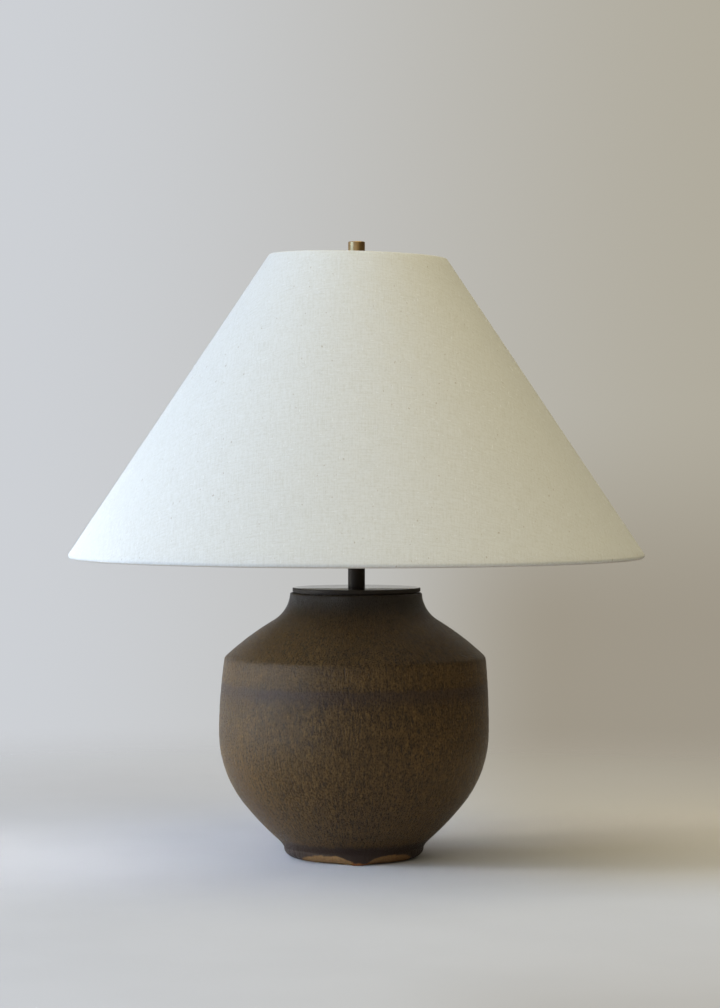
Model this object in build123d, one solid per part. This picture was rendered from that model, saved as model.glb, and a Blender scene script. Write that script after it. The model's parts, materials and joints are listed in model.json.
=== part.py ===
from build123d import *
import os
from math import atan2, cos, degrees, radians, sin, tan

# Pottery table lamp, millimetres, +Z up. The origin is on the table, on the lamp's axis.
# The front faces -Y, the cord inlet is at the back (+Y) and the switch is on the right (+X).

# Pot: one thrown stoneware vessel, outside sizes
pot_height = 234.0
rim_radius = 58.5
rim_band = 3.0
rim_round = 1.8
neck_flare = 8.0
neck_height = 25.0
neck_base_radius = 73.5
shoulder_drop = 32.0
shoulder_radius = 115.5
shoulder_crown = 1.4
shoulder_round = 6.0
belly_drop = 66.0
belly_radius = 119.4
knuckle_radius = 96.0
knuckle_height = 46.3
foot_radius = 61.8
foot_height = 11.5
foot_seam_round = 3.0
wall = 7.0
floor_thickness = 10.0

# Trimmed foot: a hollow under the floor and six flat scallops round its lower edge
foot_hollow_radius = 42.0
foot_hollow_depth = 4.0
scallop_count = 6
scallop_inset = 5.0
scallop_rise = 6.5
scallop_turn = 3.5

# Cord inlet, square to the flank at the back
inlet_bore = 3.6
inlet_wall = 2.6
inlet_flange = 2.8
inlet_flange_thickness = 2.2
inlet_barb = 0.9
inlet_barb_length = 3.0

# Cap, stem and the threaded pipe that clamps them to the pot
cap_radius = 56.6
cap_thickness = 3.4
cap_edge = 0.6
reveal_height = 1.0
reveal_inset = 2.5
spigot_depth = 8.0
spigot_wall = 2.0
stem_radius = 7.5
stem_wall = 1.2
stem_length = 50.0
pipe_radius = 4.9
pipe_bore = 3.3
pipe_tail = 6.0
bar_overlap = 10.5
bar_width = 24.0
bar_thickness = 4.0
nut_across_flats = 15.9
nut_thickness = 4.8
lock_washer_radius = 9.5
lock_washer_thickness = 1.6
lock_washer_slit = 1.5

# Harp: saddle, spring-wire bow, locking ferrules and swivel stud
harp_height = 228.6
saddle_thickness = 1.8
saddle_eye_radius = 11.0
saddle_arm_width = 9.0
saddle_half_width = 31.0
saddle_rise = 20.0
saddle_bend = 9.0
wire_radius = 2.0
lap_length = 11.0
harp_half_width = 57.0
harp_flare_rise = 45.0
harp_taper_drop = 62.0
harp_crown_half = 30.0
harp_bend = 26.0
crown_radius = 7.0
crown_height = 6.0
ferrule_wall = 1.3
ferrule_length = 15.0
ferrule_collar = 0.8
ferrule_collar_height = 2.4
ferrule_travel = 12.0
stud_flange_radius = 10.0
stud_flange_thickness = 1.8
stud_head_radius = 5.2
stud_head_thickness = 1.5
stud_radius = 3.2
stud_thread_length = 13.0

# Lamp holder: spun cap and shell round an insulated body
holder_neck_radius = 8.0
holder_neck_height = 9.0
holder_dome = 8.0
holder_cap_overlap = 6.5
holder_cap_wall = 0.8
shell_radius = 17.2
shell_wall = 0.6
shell_lip = 2.0
liner_wall = 0.8
body_height = 16.0
body_flat_depth = 4.5
screw_shell_length = 24.0
screw_shell_wall = 0.5
contact_width = 5.0
contact_thickness = 0.5
contact_rise = 3.0
contact_reach = 8.0
terminal_head_radius = 3.0
terminal_head_height = 2.2
terminal_shank_radius = 1.6
terminal_shank_length = 6.0
set_screw_radius = 1.7
set_screw_length = 6.0

# Turn switch on the side of the lamp holder
shaft_radius = 2.2
shaft_lift = 10.0
shaft_depth = 9.0
slot_margin = 1.2
knob_radius = 6.5
knob_length = 13.0
knob_standoff = 5.0
knob_flutes = 12
knob_flute_radius = 0.9
knob_edge = 1.0
knob_grip = 9.0

# Lamp bulb with a screw base
bulb_base_radius = 13.0
bulb_base_length = 18.0
bulb_base_wall = 0.5
bulb_button_radius = 4.6
bulb_button_height = 1.6
bulb_insulator_height = 4.4
globe_radius = 30.0
globe_neck_radius = 13.2
globe_height = 80.0
globe_taper = 35.0
glass_wall = 1.0

# Shade: linen on a stiff liner, rolled over two wire rings, hung from a three-armed spider
shade_bottom_radius = 254.0
shade_top_radius = 79.5
shade_height = 266.0
cover_thickness = 0.8
liner_thickness = 0.5
ring_wire_radius = 1.5
hem_wrap = 235.0
fitter_drop = 12.2
fitter_radius = 13.0
fitter_thickness = 1.6
fitter_hole = 4.0
arm_count = 3
arm_wire_radius = 1.5
arm_knee_inset = 14.0
arm_bend = 8.0
arm_turn = 30.0

# Finial
finial_radius = 7.5
finial_height = 25.4
finial_edge = 0.8
finial_bore_extra = 1.0

# Clearances
slip_fit = 0.6
thread_fit = 0.15
running_fit = 0.08
assembly_fit = 0.3
glue_line = 0.1

# Heights and radii that the pieces share
neck_bore = rim_radius - wall
floor_top = foot_hollow_depth + floor_thickness
neck_base_height = pot_height - neck_height
shoulder_height = neck_base_height - shoulder_drop
belly_height = shoulder_height - belly_drop
shoulder_fall = shoulder_drop / (shoulder_radius - neck_base_radius)
inner_shoulder_radius = shoulder_radius - wall
inner_shoulder_height = shoulder_height - wall * tan(atan2(1, shoulder_fall) / 2)
inner_neck_height = inner_shoulder_height + (inner_shoulder_radius - neck_bore) * shoulder_fall
cap_seat = pot_height + reveal_height
cap_top = cap_seat + cap_thickness
stem_top = cap_top + stem_length
saddle_top = stem_top + saddle_thickness
bar_reach = neck_bore + bar_overlap
bar_top = inner_neck_height - bar_overlap * shoulder_fall - assembly_fit
bar_bottom = bar_top - bar_thickness
lock_washer_bottom = bar_bottom - lock_washer_thickness
pipe_nut_bottom = lock_washer_bottom - nut_thickness
pipe_bottom = pipe_nut_bottom - pipe_tail
pipe_hole = pipe_radius + thread_fit
leg_seat = stem_top + saddle_rise
holder_bottom = saddle_top + nut_thickness
pipe_top = holder_bottom + holder_neck_height
shell_bottom = holder_bottom + holder_neck_height + holder_dome + assembly_fit
holder_rim = shell_bottom + holder_cap_overlap
holder_rim_radius = shell_radius + assembly_fit + holder_cap_wall
liner_radius = shell_radius - shell_wall - assembly_fit
body_radius = liner_radius - liner_wall - assembly_fit
body_flat = body_radius - body_flat_depth
body_top = shell_bottom + body_height
screw_shell_bore = bulb_base_radius + assembly_fit
screw_shell_radius = screw_shell_bore + screw_shell_wall
screw_shell_top = body_top + screw_shell_length
shell_top = screw_shell_top + shell_lip
shaft_height = shell_bottom + shaft_lift
knob_start = shell_radius + knob_standoff
bulb_bottom = body_top + contact_rise + assembly_fit
bulb_base_bottom = bulb_bottom + bulb_button_height + bulb_insulator_height
globe_bottom = bulb_base_bottom + bulb_base_length
washer_seat = stem_top + harp_height
washer_top = washer_seat + fitter_thickness
stud_flange_bottom = washer_seat - stud_flange_thickness
crown_top = stud_flange_bottom - running_fit
crown_middle = crown_top - crown_height / 2
crown_bottom = crown_top - crown_height
ferrule_bore = wire_radius + assembly_fit
shade_top = washer_top + fitter_drop
shade_bottom = shade_top - shade_height
hem_bore = ring_wire_radius + assembly_fit
hem_radius = hem_bore + cover_thickness
ring_drop = shade_height - 2 * hem_radius
ring_spread = shade_bottom_radius - shade_top_radius
slant = atan2(ring_spread, ring_drop)
top_ring = (shade_top_radius - hem_radius, shade_top - hem_radius)
bottom_ring = (shade_bottom_radius - hem_radius, shade_bottom + hem_radius)


def turned(*curves):
    """Solid turned about the lamp's axis from a closed outline of (radius, height) curves."""
    outline = [edge for curve in curves for edge in curve.edges()]
    return revolve(Plane.XZ * make_face(outline), Axis.Z)


def turned_polygon(*corners):
    """Solid turned about the lamp's axis from the corners of its half section."""
    return turned(Polyline(*corners, close=True))


def sleeve(outer, inner, bottom, top):
    """Plain tube on the lamp's axis."""
    return turned_polygon((inner, bottom), (outer, bottom), (outer, top), (inner, top))


def hex_nut(bottom):
    """Hexagon nut on the threaded pipe."""
    blank = extrude(RegularPolygon(nut_across_flats / 2, 6, major_radius=False), nut_thickness)
    dome = Cone(nut_across_flats / 2 + nut_thickness, nut_across_flats / 2, nut_thickness,
                align=(Align.CENTER, Align.CENTER, Align.MIN))
    bore = Cylinder(pipe_hole, nut_thickness, align=(Align.CENTER, Align.CENTER, Align.MIN))
    return Pos(0, 0, bottom) * ((blank & dome) - bore)


def flank_curve():
    """Outer curve of the pot from its belly to the top of its foot."""
    belly_curve = TangentArc((belly_radius, belly_height), (knuckle_radius, knuckle_height),
                             tangent=(0, -1))
    return TangentArc((knuckle_radius, knuckle_height), (foot_radius, foot_height),
                      tangent=belly_curve % 1)


def inner_flank():
    """Straight inner side of the flank, from its knuckle to the edge of the pot's floor."""
    turn_in = 2 * atan2(belly_radius - knuckle_radius, belly_height - knuckle_height)
    fall = (knuckle_radius - foot_radius) / (knuckle_height - foot_height)
    radius = knuckle_radius - wall * cos(turn_in)
    height = knuckle_height + wall * sin(turn_in)
    return Line((radius, height), (radius - (height - floor_top) * fall, floor_top))


def inlet_plane():
    """Plane on the back of the flank, with its normal along the cord inlet."""
    flank = flank_curve()
    place = flank @ 0.5
    run = flank % 0.5
    return Plane(origin=(0, place.X, place.Y), x_dir=(1, 0, 0), z_dir=(0, -run.Y, run.X))


def pot_outside():
    """Pot as a solid form: rim, neck, shoulder, belly, flank and foot."""
    rim = (rim_radius, pot_height)
    neck_top = (rim_radius, pot_height - rim_band)
    neck_base = (neck_base_radius, neck_base_height)
    shoulder = (shoulder_radius, shoulder_height)
    belly = (belly_radius, belly_height)
    knuckle = (knuckle_radius, knuckle_height)
    lean = radians(neck_flare)
    form = turned(
        Line((0, pot_height), rim),
        Line(rim, neck_top),
        TangentArc(neck_top, neck_base, tangent=(sin(lean), -cos(lean))),
        SagittaArc(neck_base, shoulder, shoulder_crown),
        TangentArc(belly, shoulder, tangent=(0, 1)),
        TangentArc(belly, knuckle, tangent=(0, -1)),
        flank_curve(),
        Line((foot_radius, foot_height), (foot_radius, 0)),
        Line((foot_radius, 0), (0, 0)),
        Line((0, 0), (0, pot_height)),
    )
    rings = form.edges().filter_by(GeomType.CIRCLE)
    form = fillet(rings.sort_by(lambda ring: abs(ring.center().Z - shoulder_height))[0], shoulder_round)
    rings = form.edges().filter_by(GeomType.CIRCLE)
    return fillet(rings.sort_by(lambda ring: abs(ring.center().Z - foot_height))[0], foot_seam_round)


def pot_inside():
    """Hollow of the pot, one wall inside the outer form."""
    flank = inner_flank()
    belly = (belly_radius - wall, belly_height)
    shoulder = (inner_shoulder_radius, inner_shoulder_height)
    return turned(
        Line((0, floor_top), flank @ 1),
        flank,
        TangentArc(belly, flank @ 0, tangent=(0, -1)),
        TangentArc(belly, shoulder, tangent=(0, 1)),
        Polyline(shoulder, (neck_bore, inner_neck_height), (neck_bore, pot_height), (0, pot_height)),
        Line((0, pot_height), (0, floor_top)),
    )


def foot_scallop():
    """Wedge that takes one flat scallop off the lower edge of the foot."""
    slope = Plane(origin=(foot_radius - scallop_inset, 0, 0), x_dir=(scallop_inset, 0, scallop_rise),
                  z_dir=(scallop_rise, 0, -scallop_inset))
    return slope * Box(4 * scallop_rise, 2 * foot_radius, 2 * scallop_inset,
                       align=(Align.CENTER, Align.CENTER, Align.MIN))


def make_pot_body():
    """Stoneware pot with its hollow, its scalloped foot and the hole for the cord inlet."""
    pot = pot_outside() - pot_inside()
    rim_edges = pot.edges().filter_by(GeomType.CIRCLE).group_by(Axis.Z)[-1]
    pot = fillet(rim_edges, rim_round)
    pot -= Cylinder(foot_hollow_radius, foot_hollow_depth, align=(Align.CENTER, Align.CENTER, Align.MIN))
    for scallop in Rot(0, 0, scallop_turn) * PolarLocations(0, scallop_count):
        pot -= scallop * foot_scallop()
    hole_radius = inlet_bore + inlet_wall + assembly_fit
    return pot - inlet_plane() * Cylinder(hole_radius, 3 * wall)


def make_cord_grommet():
    """Push-in bush with an outer flange and a tapered barb inside the wall."""
    waist = inlet_bore + inlet_wall
    flange = waist + inlet_flange
    barb = waist + inlet_barb
    inner_face = -inner_flank().distance(Vertex(flank_curve() @ 0.5)) - slip_fit
    tail = inner_face - inlet_barb_length
    bush = turned_polygon((inlet_bore, tail), (waist - inlet_barb, tail), (barb, inner_face),
                          (waist, inner_face), (waist, assembly_fit), (flange, assembly_fit),
                          (flange, assembly_fit + inlet_flange_thickness / 2),
                          (flange - inlet_flange_thickness / 2, assembly_fit + inlet_flange_thickness),
                          (inlet_bore, assembly_fit + inlet_flange_thickness))
    return inlet_plane() * bush


def make_vase_cap():
    """Turned cap: a flat disc, a step that leaves a dark reveal, and a spigot inside the neck."""
    step = cap_radius - reveal_inset
    spigot = neck_bore - slip_fit
    spigot_bottom = pot_height - spigot_depth
    return turned_polygon((pipe_hole, cap_top), (cap_radius - cap_edge, cap_top),
                          (cap_radius, cap_top - cap_edge), (cap_radius, cap_seat), (step, cap_seat),
                          (step, pot_height), (spigot, pot_height), (spigot, spigot_bottom),
                          (spigot - spigot_wall, spigot_bottom), (spigot - spigot_wall, pot_height),
                          (pipe_hole, pot_height))


def make_clamp_bar():
    """Steel strip under the inside of the shoulder, with its ends rounded to the pot."""
    strip = Box(2 * bar_reach, bar_width, bar_thickness, align=(Align.CENTER, Align.CENTER, Align.MAX))
    return Pos(0, 0, bar_top) * strip & sleeve(bar_reach, pipe_hole, bar_bottom, bar_top)


def make_threaded_pipe():
    """Hollow pipe that carries the cord and pulls the stack together."""
    return sleeve(pipe_radius, pipe_bore, pipe_bottom, pipe_top)


def make_pipe_lock_washer():
    """Split spring washer between the clamp bar and its nut."""
    ring = sleeve(lock_washer_radius, pipe_hole, lock_washer_bottom, bar_bottom)
    slit = Box(lock_washer_radius, lock_washer_slit, 2 * lock_washer_thickness,
               align=(Align.MIN, Align.CENTER, Align.CENTER))
    return ring - Pos(0, 0, bar_bottom) * slit


def make_pipe_nut():
    """Nut that draws the clamp bar up against the pot."""
    return hex_nut(pipe_nut_bottom)


def make_stem():
    """Bronzed tube between the cap and the harp saddle."""
    return sleeve(stem_radius, stem_radius - stem_wall, cap_top, stem_top)


def make_harp_saddle():
    """Pressed strip with a round eye and two upturned arms that end in half-round tangs."""
    middle = stem_top + saddle_thickness / 2
    route = FilletPolyline((0, -saddle_half_width, leg_seat), (0, -saddle_half_width, middle),
                           (0, saddle_half_width, middle), (0, saddle_half_width, leg_seat),
                           radius=saddle_bend)
    strip_start = Plane(origin=route @ 0, x_dir=(1, 0, 0), z_dir=route % 0)
    strip = sweep(strip_start * Rectangle(2 * saddle_eye_radius, saddle_thickness), path=route)
    plan = Circle(saddle_eye_radius) + Rectangle(saddle_arm_width, 4 * saddle_half_width)
    saddle = strip & Pos(0, 0, stem_top) * extrude(plan, 2 * saddle_rise)
    saddle -= Pos(0, 0, stem_top) * Cylinder(pipe_hole, 2 * saddle_rise)
    for side in (-1, 1):
        tang = Cylinder(wire_radius, lap_length, align=(Align.CENTER, Align.CENTER, Align.MIN))
        outer_half = Pos(0, side * (running_fit + wire_radius), lap_length / 2) * Box(
            2 * wire_radius, 2 * wire_radius, lap_length)
        saddle += Pos(0, side * saddle_half_width, leg_seat) * (tang & outer_half)
    return saddle


def make_saddle_nut():
    """Thin nut that locks the saddle on the pipe under the lamp holder."""
    return hex_nut(saddle_top)


def harp_route():
    """Centre line of the harp wire, from one saddle arm over the crown to the other."""
    leg_foot = leg_seat + assembly_fit
    leg_top = leg_seat + ferrule_length + ferrule_travel + harp_bend
    widest_low = leg_top + harp_flare_rise
    widest_high = crown_middle - harp_taper_drop
    half = [(saddle_half_width, leg_foot), (saddle_half_width, leg_top), (harp_half_width, widest_low),
            (harp_half_width, widest_high), (harp_crown_half, crown_middle)]
    right = [(0, y, z) for y, z in half]
    left = [(0, -y, z) for y, z in reversed(half)]
    return FilletPolyline(*right, *left, radius=harp_bend)


def make_harp_bow():
    """Spring-wire bow with flattened feet that lap the saddle's tangs, and a bored crown."""
    route = harp_route()
    bow = sweep(Plane(origin=route @ 0, z_dir=route % 0) * Circle(wire_radius), path=route)
    for side in (-1, 1):
        lap = Pos(0, side * saddle_half_width, leg_seat) * Box(
            4 * wire_radius, 2 * wire_radius, 2 * lap_length)
        bow -= Pos(0, side * wire_radius, 0) * lap
    bow += Pos(0, 0, crown_middle) * Cylinder(crown_radius, crown_height)
    return bow - Pos(0, 0, crown_middle) * Cylinder(stud_radius + running_fit, 2 * crown_height)


def make_harp_stud():
    """Swivel stud riveted through the crown, with the seat and thread that hold the shade."""
    head_top = crown_bottom - running_fit
    head_bottom = head_top - stud_head_thickness
    thread_top = washer_seat + stud_thread_length
    return turned_polygon((0, head_bottom), (stud_head_radius, head_bottom), (stud_head_radius, head_top),
                          (stud_radius, head_top), (stud_radius, stud_flange_bottom),
                          (stud_flange_radius, stud_flange_bottom), (stud_flange_radius, washer_seat),
                          (stud_radius, washer_seat), (stud_radius, thread_top), (0, thread_top))


def make_harp_ferrule(side):
    """Collar that drops over one harp foot and its tang to lock them."""
    outer = ferrule_bore + ferrule_wall
    collar = outer + ferrule_collar
    bottom = leg_seat + running_fit
    collar_top = bottom + ferrule_collar_height
    top = bottom + ferrule_length
    ferrule = turned_polygon((ferrule_bore, bottom), (collar, bottom), (collar, collar_top),
                             (outer, collar_top + ferrule_collar), (outer, top), (ferrule_bore, top))
    return Pos(0, side * saddle_half_width, 0) * ferrule


def make_holder_cap():
    """Spun cap of the lamp holder: a threaded neck that opens into a cup."""
    neck_top = holder_bottom + holder_neck_height
    cup = neck_top + holder_dome
    inner_rim = holder_rim_radius - holder_cap_wall
    inner_neck = (holder_neck_radius, neck_top + holder_cap_wall)
    cap = turned(
        Polyline((pipe_hole, neck_top), (pipe_hole, holder_bottom), (holder_neck_radius, holder_bottom),
                 (holder_neck_radius, neck_top)),
        TangentArc((holder_rim_radius, cup), (holder_neck_radius, neck_top), tangent=(0, -1)),
        Polyline((holder_rim_radius, cup), (holder_rim_radius, holder_rim), (inner_rim, holder_rim),
                 (inner_rim, cup)),
        TangentArc((inner_rim, cup), inner_neck, tangent=(0, -1)),
        Polyline(inner_neck, (pipe_hole, neck_top + holder_cap_wall), (pipe_hole, neck_top)),
    )
    return cap - set_screw_place() * Cylinder(set_screw_radius + thread_fit, 2 * set_screw_length)


def set_screw_place():
    """Place of the set screw's tip, against the pipe, with +Z pointing out of the neck."""
    return Plane(origin=(0, pipe_radius, holder_bottom + holder_neck_height / 2), z_dir=(0, 1, 0))


def make_holder_set_screw():
    """Headless screw that stops the lamp holder turning on the pipe."""
    screw = Cylinder(set_screw_radius, set_screw_length, align=(Align.CENTER, Align.CENTER, Align.MIN))
    slot = Pos(0, 0, set_screw_length) * Box(2 * set_screw_radius, set_screw_radius / 2, set_screw_radius)
    return set_screw_place() * (Pos(0, 0, running_fit) * (screw - slot))


def shaft_slot():
    """Slot, open at the bottom, that lets the switch shaft through the shell and its liner."""
    width = 2 * (shaft_radius + slot_margin)
    channel = Pos(0, 0, shell_bottom) * Box(2 * shell_radius, width, 2 * shaft_lift,
                                            align=(Align.MIN, Align.CENTER, Align.CENTER))
    arch = Pos(0, 0, shaft_height) * Rot(0, 90, 0) * Cylinder(
        width / 2, 2 * shell_radius, align=(Align.CENTER, Align.CENTER, Align.MIN))
    return channel + arch


def make_holder_shell():
    """Thin spun shell with a lip turned in at the mouth and a slot for the switch."""
    inner = shell_radius - shell_wall
    lip = screw_shell_radius + assembly_fit
    shell = turned_polygon((shell_radius, shell_bottom), (shell_radius, shell_top), (lip, shell_top),
                           (lip, shell_top - shell_wall), (inner, shell_top - shell_wall),
                           (inner, shell_bottom))
    return shell - shaft_slot()


def make_holder_liner():
    """Insulating paper tube between the shell and the live parts."""
    liner = sleeve(liner_radius, liner_radius - liner_wall, shell_bottom, screw_shell_top)
    return liner - shaft_slot()


def shaft_place():
    """Plane at the inner end of the switch shaft, with +Z along the shaft to the knob."""
    return Plane(origin=(body_radius - shaft_depth, 0, shaft_height), x_dir=(0, 1, 0), z_dir=(1, 0, 0))


def terminal_place(side):
    """Plane on one flat of the insulated body, with +Z out of the flat."""
    return Plane(origin=(0, side * body_flat, shell_bottom + body_height / 2), z_dir=(0, side, 0))


def make_holder_body():
    """Moulded insulator with two terminal flats and the bore of the switch."""
    body = sleeve(body_radius, pipe_bore, shell_bottom, body_top)
    for side in (-1, 1):
        flat = Box(2 * body_radius, 2 * body_radius, body_flat_depth * 2,
                   align=(Align.CENTER, Align.CENTER, Align.MIN))
        body -= terminal_place(side) * flat
        hole = Cylinder(terminal_shank_radius + thread_fit, 2 * terminal_shank_length)
        body -= terminal_place(side) * hole
    bore = Cylinder(shaft_radius + running_fit, 2 * body_radius,
                    align=(Align.CENTER, Align.CENTER, Align.MIN))
    return body - shaft_place() * bore


def make_screw_shell():
    """Brass screw shell that takes the bulb's base."""
    return sleeve(screw_shell_radius, screw_shell_bore, body_top, screw_shell_top)


def make_centre_contact():
    """Bent spring strip that bears on the bulb's button."""
    rest = contact_thickness / 2
    bend = -contact_reach / 2
    line = Polyline((-contact_reach, rest), (bend, rest), (bend / 2, contact_rise - rest),
                    (contact_reach / 4, contact_rise - rest))
    strip = Plane.XZ * trace(line, contact_thickness)
    return Pos(0, 0, body_top) * extrude(strip, contact_width / 2, both=True)


def make_terminal_screws():
    """Two binding screws, one on each flat of the insulated body."""
    screw = Cylinder(terminal_head_radius, terminal_head_height,
                     align=(Align.CENTER, Align.CENTER, Align.MIN))
    screw -= Pos(0, 0, terminal_head_height) * Box(
        2 * terminal_head_radius, terminal_head_height / 3, terminal_head_height)
    screw += Cylinder(terminal_shank_radius, terminal_shank_length,
                      align=(Align.CENTER, Align.CENTER, Align.MAX))
    return [terminal_place(side) * screw for side in (-1, 1)]


def make_switch_shaft():
    """Round shaft from the insulated body to the knob."""
    length = knob_start + knob_grip - (body_radius - shaft_depth)
    shaft = Cylinder(shaft_radius, length, align=(Align.CENTER, Align.CENTER, Align.MIN))
    return shaft_place() * shaft


def make_switch_knob():
    """Fluted knob on the switch shaft."""
    knob = Cylinder(knob_radius, knob_length, align=(Align.CENTER, Align.CENTER, Align.MIN))
    knob = chamfer(knob.edges().filter_by(GeomType.CIRCLE), knob_edge)
    for flute in PolarLocations(knob_radius, knob_flutes):
        knob -= flute * Cylinder(knob_flute_radius, 3 * knob_length)
    knob -= Cylinder(shaft_radius + glue_line, 2 * knob_grip)
    return Plane(origin=(knob_start, 0, shaft_height), x_dir=(0, 1, 0), z_dir=(1, 0, 0)) * knob


def make_bulb_button():
    """Tip contact of the bulb."""
    top = bulb_bottom + bulb_button_height
    return turned_polygon((0, bulb_bottom), (bulb_button_radius / 2, bulb_bottom),
                          (bulb_button_radius, top), (0, top))


def make_bulb_insulator():
    """Glass insulator between the tip contact and the screw base."""
    bottom = bulb_bottom + bulb_button_height
    inner = bulb_base_radius - 2 * bulb_base_wall
    return turned_polygon((0, bottom), (bulb_button_radius, bottom), (inner, bulb_base_bottom),
                          (0, bulb_base_bottom))


def make_bulb_base():
    """Rolled screw base of the bulb."""
    inner = bulb_base_radius - bulb_base_wall
    floor = inner - bulb_base_wall
    return turned_polygon((0, bulb_base_bottom), (floor, bulb_base_bottom),
                          (bulb_base_radius, bulb_base_bottom + 2 * bulb_base_wall),
                          (bulb_base_radius, globe_bottom), (inner, globe_bottom),
                          (inner, bulb_base_bottom + 2 * bulb_base_wall),
                          (0, bulb_base_bottom + 2 * bulb_base_wall))


def globe_curve(inset):
    """Side of the bulb's glass from its neck to its crown, moved in by the given amount."""
    radius = globe_radius - inset
    middle = globe_bottom + globe_height - globe_radius
    taper = radians(globe_taper)
    ball = CenterArc((0, middle), radius, -globe_taper, 90 + globe_taper)
    neck = TangentArc(ball @ 0, (globe_neck_radius - inset, globe_bottom), tangent=(-sin(taper), -cos(taper)))
    return neck, ball


def make_bulb_globe():
    """Glass envelope of the bulb."""
    crown = globe_bottom + globe_height
    return turned(
        *globe_curve(0),
        *globe_curve(glass_wall),
        Line((globe_neck_radius, globe_bottom), (globe_neck_radius - glass_wall, globe_bottom)),
        Line((0, crown), (0, crown - glass_wall)),
    )


def slant_point(ring, offset, along=0.0):
    """Point off a ring's centre, square to the shade's slope by offset and down it by along."""
    return (ring[0] + offset * cos(slant) + along * sin(slant),
            ring[1] + offset * sin(slant) - along * cos(slant))


def rolled_hem(ring, turn):
    """Edges of the cover where it rolls round one wire ring, from the slope to its tucked end."""
    start = degrees(slant)
    outer = CenterArc(ring, hem_radius, start, turn)
    inner = CenterArc(ring, hem_bore, start, turn)
    return outer, inner, Line(outer @ 1, inner @ 1)


def make_shade_cover():
    """Linen cone, one piece, rolled round the wire rings at its top and bottom edges."""
    return turned(
        Line(slant_point(top_ring, hem_radius), slant_point(bottom_ring, hem_radius)),
        *rolled_hem(bottom_ring, -hem_wrap),
        Line(slant_point(bottom_ring, hem_bore), slant_point(top_ring, hem_bore)),
        *rolled_hem(top_ring, hem_wrap),
    )


def make_shade_liner():
    """Stiff translucent liner that the linen is glued to, between the two rings."""
    outer = hem_bore - glue_line
    inner = outer - liner_thickness
    margin = hem_radius + assembly_fit
    return turned_polygon(slant_point(top_ring, outer, margin), slant_point(bottom_ring, outer, -margin),
                          slant_point(bottom_ring, inner, -margin), slant_point(top_ring, inner, margin))


def make_shade_ring(ring):
    """Wire ring inside one rolled edge of the shade."""
    return Pos(0, 0, ring[1]) * Torus(ring[0], ring_wire_radius)


def make_fitter_washer():
    """Flat eye of the spider that drops over the harp stud."""
    return sleeve(fitter_radius, fitter_hole, washer_seat, washer_top)


def make_spider_arms():
    """Three bent wires from the top of the fitter washer out to the top hem."""
    level = washer_top + arm_wire_radius
    inner = finial_radius + slip_fit
    outer = top_ring[0] - hem_radius - glue_line
    route = FilletPolyline((inner, 0, level), (outer - arm_knee_inset, 0, level), (outer, 0, top_ring[1]),
                           (top_ring[0], 0, top_ring[1]), radius=arm_bend)
    arm = sweep(Plane(origin=route @ 0, z_dir=route % 0) * Circle(arm_wire_radius), path=route)
    arm &= sleeve(outer, finial_radius, washer_top, shade_top)
    return [place * arm for place in Rot(0, 0, arm_turn) * PolarLocations(0, arm_count)]


def make_finial():
    """Plain brass finial with a tapped hole."""
    bore = stud_radius + thread_fit
    bore_top = washer_seat + stud_thread_length + finial_bore_extra
    top = washer_top + finial_height
    return turned(
        Polyline((0, bore_top), (bore, bore_top), (bore, washer_top), (finial_radius, washer_top),
                 (finial_radius, top - finial_edge)),
        CenterArc((finial_radius - finial_edge, top - finial_edge), finial_edge, 0, 90),
        Polyline((finial_radius - finial_edge, top), (0, top), (0, bore_top)),
    )


pieces = {
    "pot_body": make_pot_body(),
    "cord_grommet": make_cord_grommet(),
    "vase_cap": make_vase_cap(),
    "clamp_bar": make_clamp_bar(),
    "threaded_pipe": make_threaded_pipe(),
    "pipe_lock_washer": make_pipe_lock_washer(),
    "pipe_nut": make_pipe_nut(),
    "stem": make_stem(),
    "harp_saddle": make_harp_saddle(),
    "saddle_nut": make_saddle_nut(),
    "harp_bow": make_harp_bow(),
    "harp_stud": make_harp_stud(),
    "harp_ferrule_front": make_harp_ferrule(-1),
    "harp_ferrule_back": make_harp_ferrule(1),
    "holder_cap": make_holder_cap(),
    "holder_set_screw": make_holder_set_screw(),
    "holder_shell": make_holder_shell(),
    "holder_liner": make_holder_liner(),
    "holder_body": make_holder_body(),
    "screw_shell": make_screw_shell(),
    "centre_contact": make_centre_contact(),
    "terminal_screws": make_terminal_screws(),
    "switch_shaft": make_switch_shaft(),
    "switch_knob": make_switch_knob(),
    "bulb_button": make_bulb_button(),
    "bulb_insulator": make_bulb_insulator(),
    "bulb_base": make_bulb_base(),
    "bulb_globe": make_bulb_globe(),
    "shade_cover": make_shade_cover(),
    "shade_liner": make_shade_liner(),
    "shade_top_ring": make_shade_ring(top_ring),
    "shade_bottom_ring": make_shade_ring(bottom_ring),
    "spider_arms": make_spider_arms(),
    "fitter_washer": make_fitter_washer(),
    "finial": make_finial(),
}

os.makedirs("parts", exist_ok=True)
for name, piece in pieces.items():
    solids = piece if isinstance(piece, list) else piece.solids()
    node = solids[0] if len(solids) == 1 else Compound(children=[Solid(s.wrapped) for s in solids])
    export_step(node, f"parts/{name}.step")
    print(name, len(solids), round(sum(s.volume for s in solids), 1))
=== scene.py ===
import json
import math

import bpy
import numpy as np
from mathutils import Matrix, Vector


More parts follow.
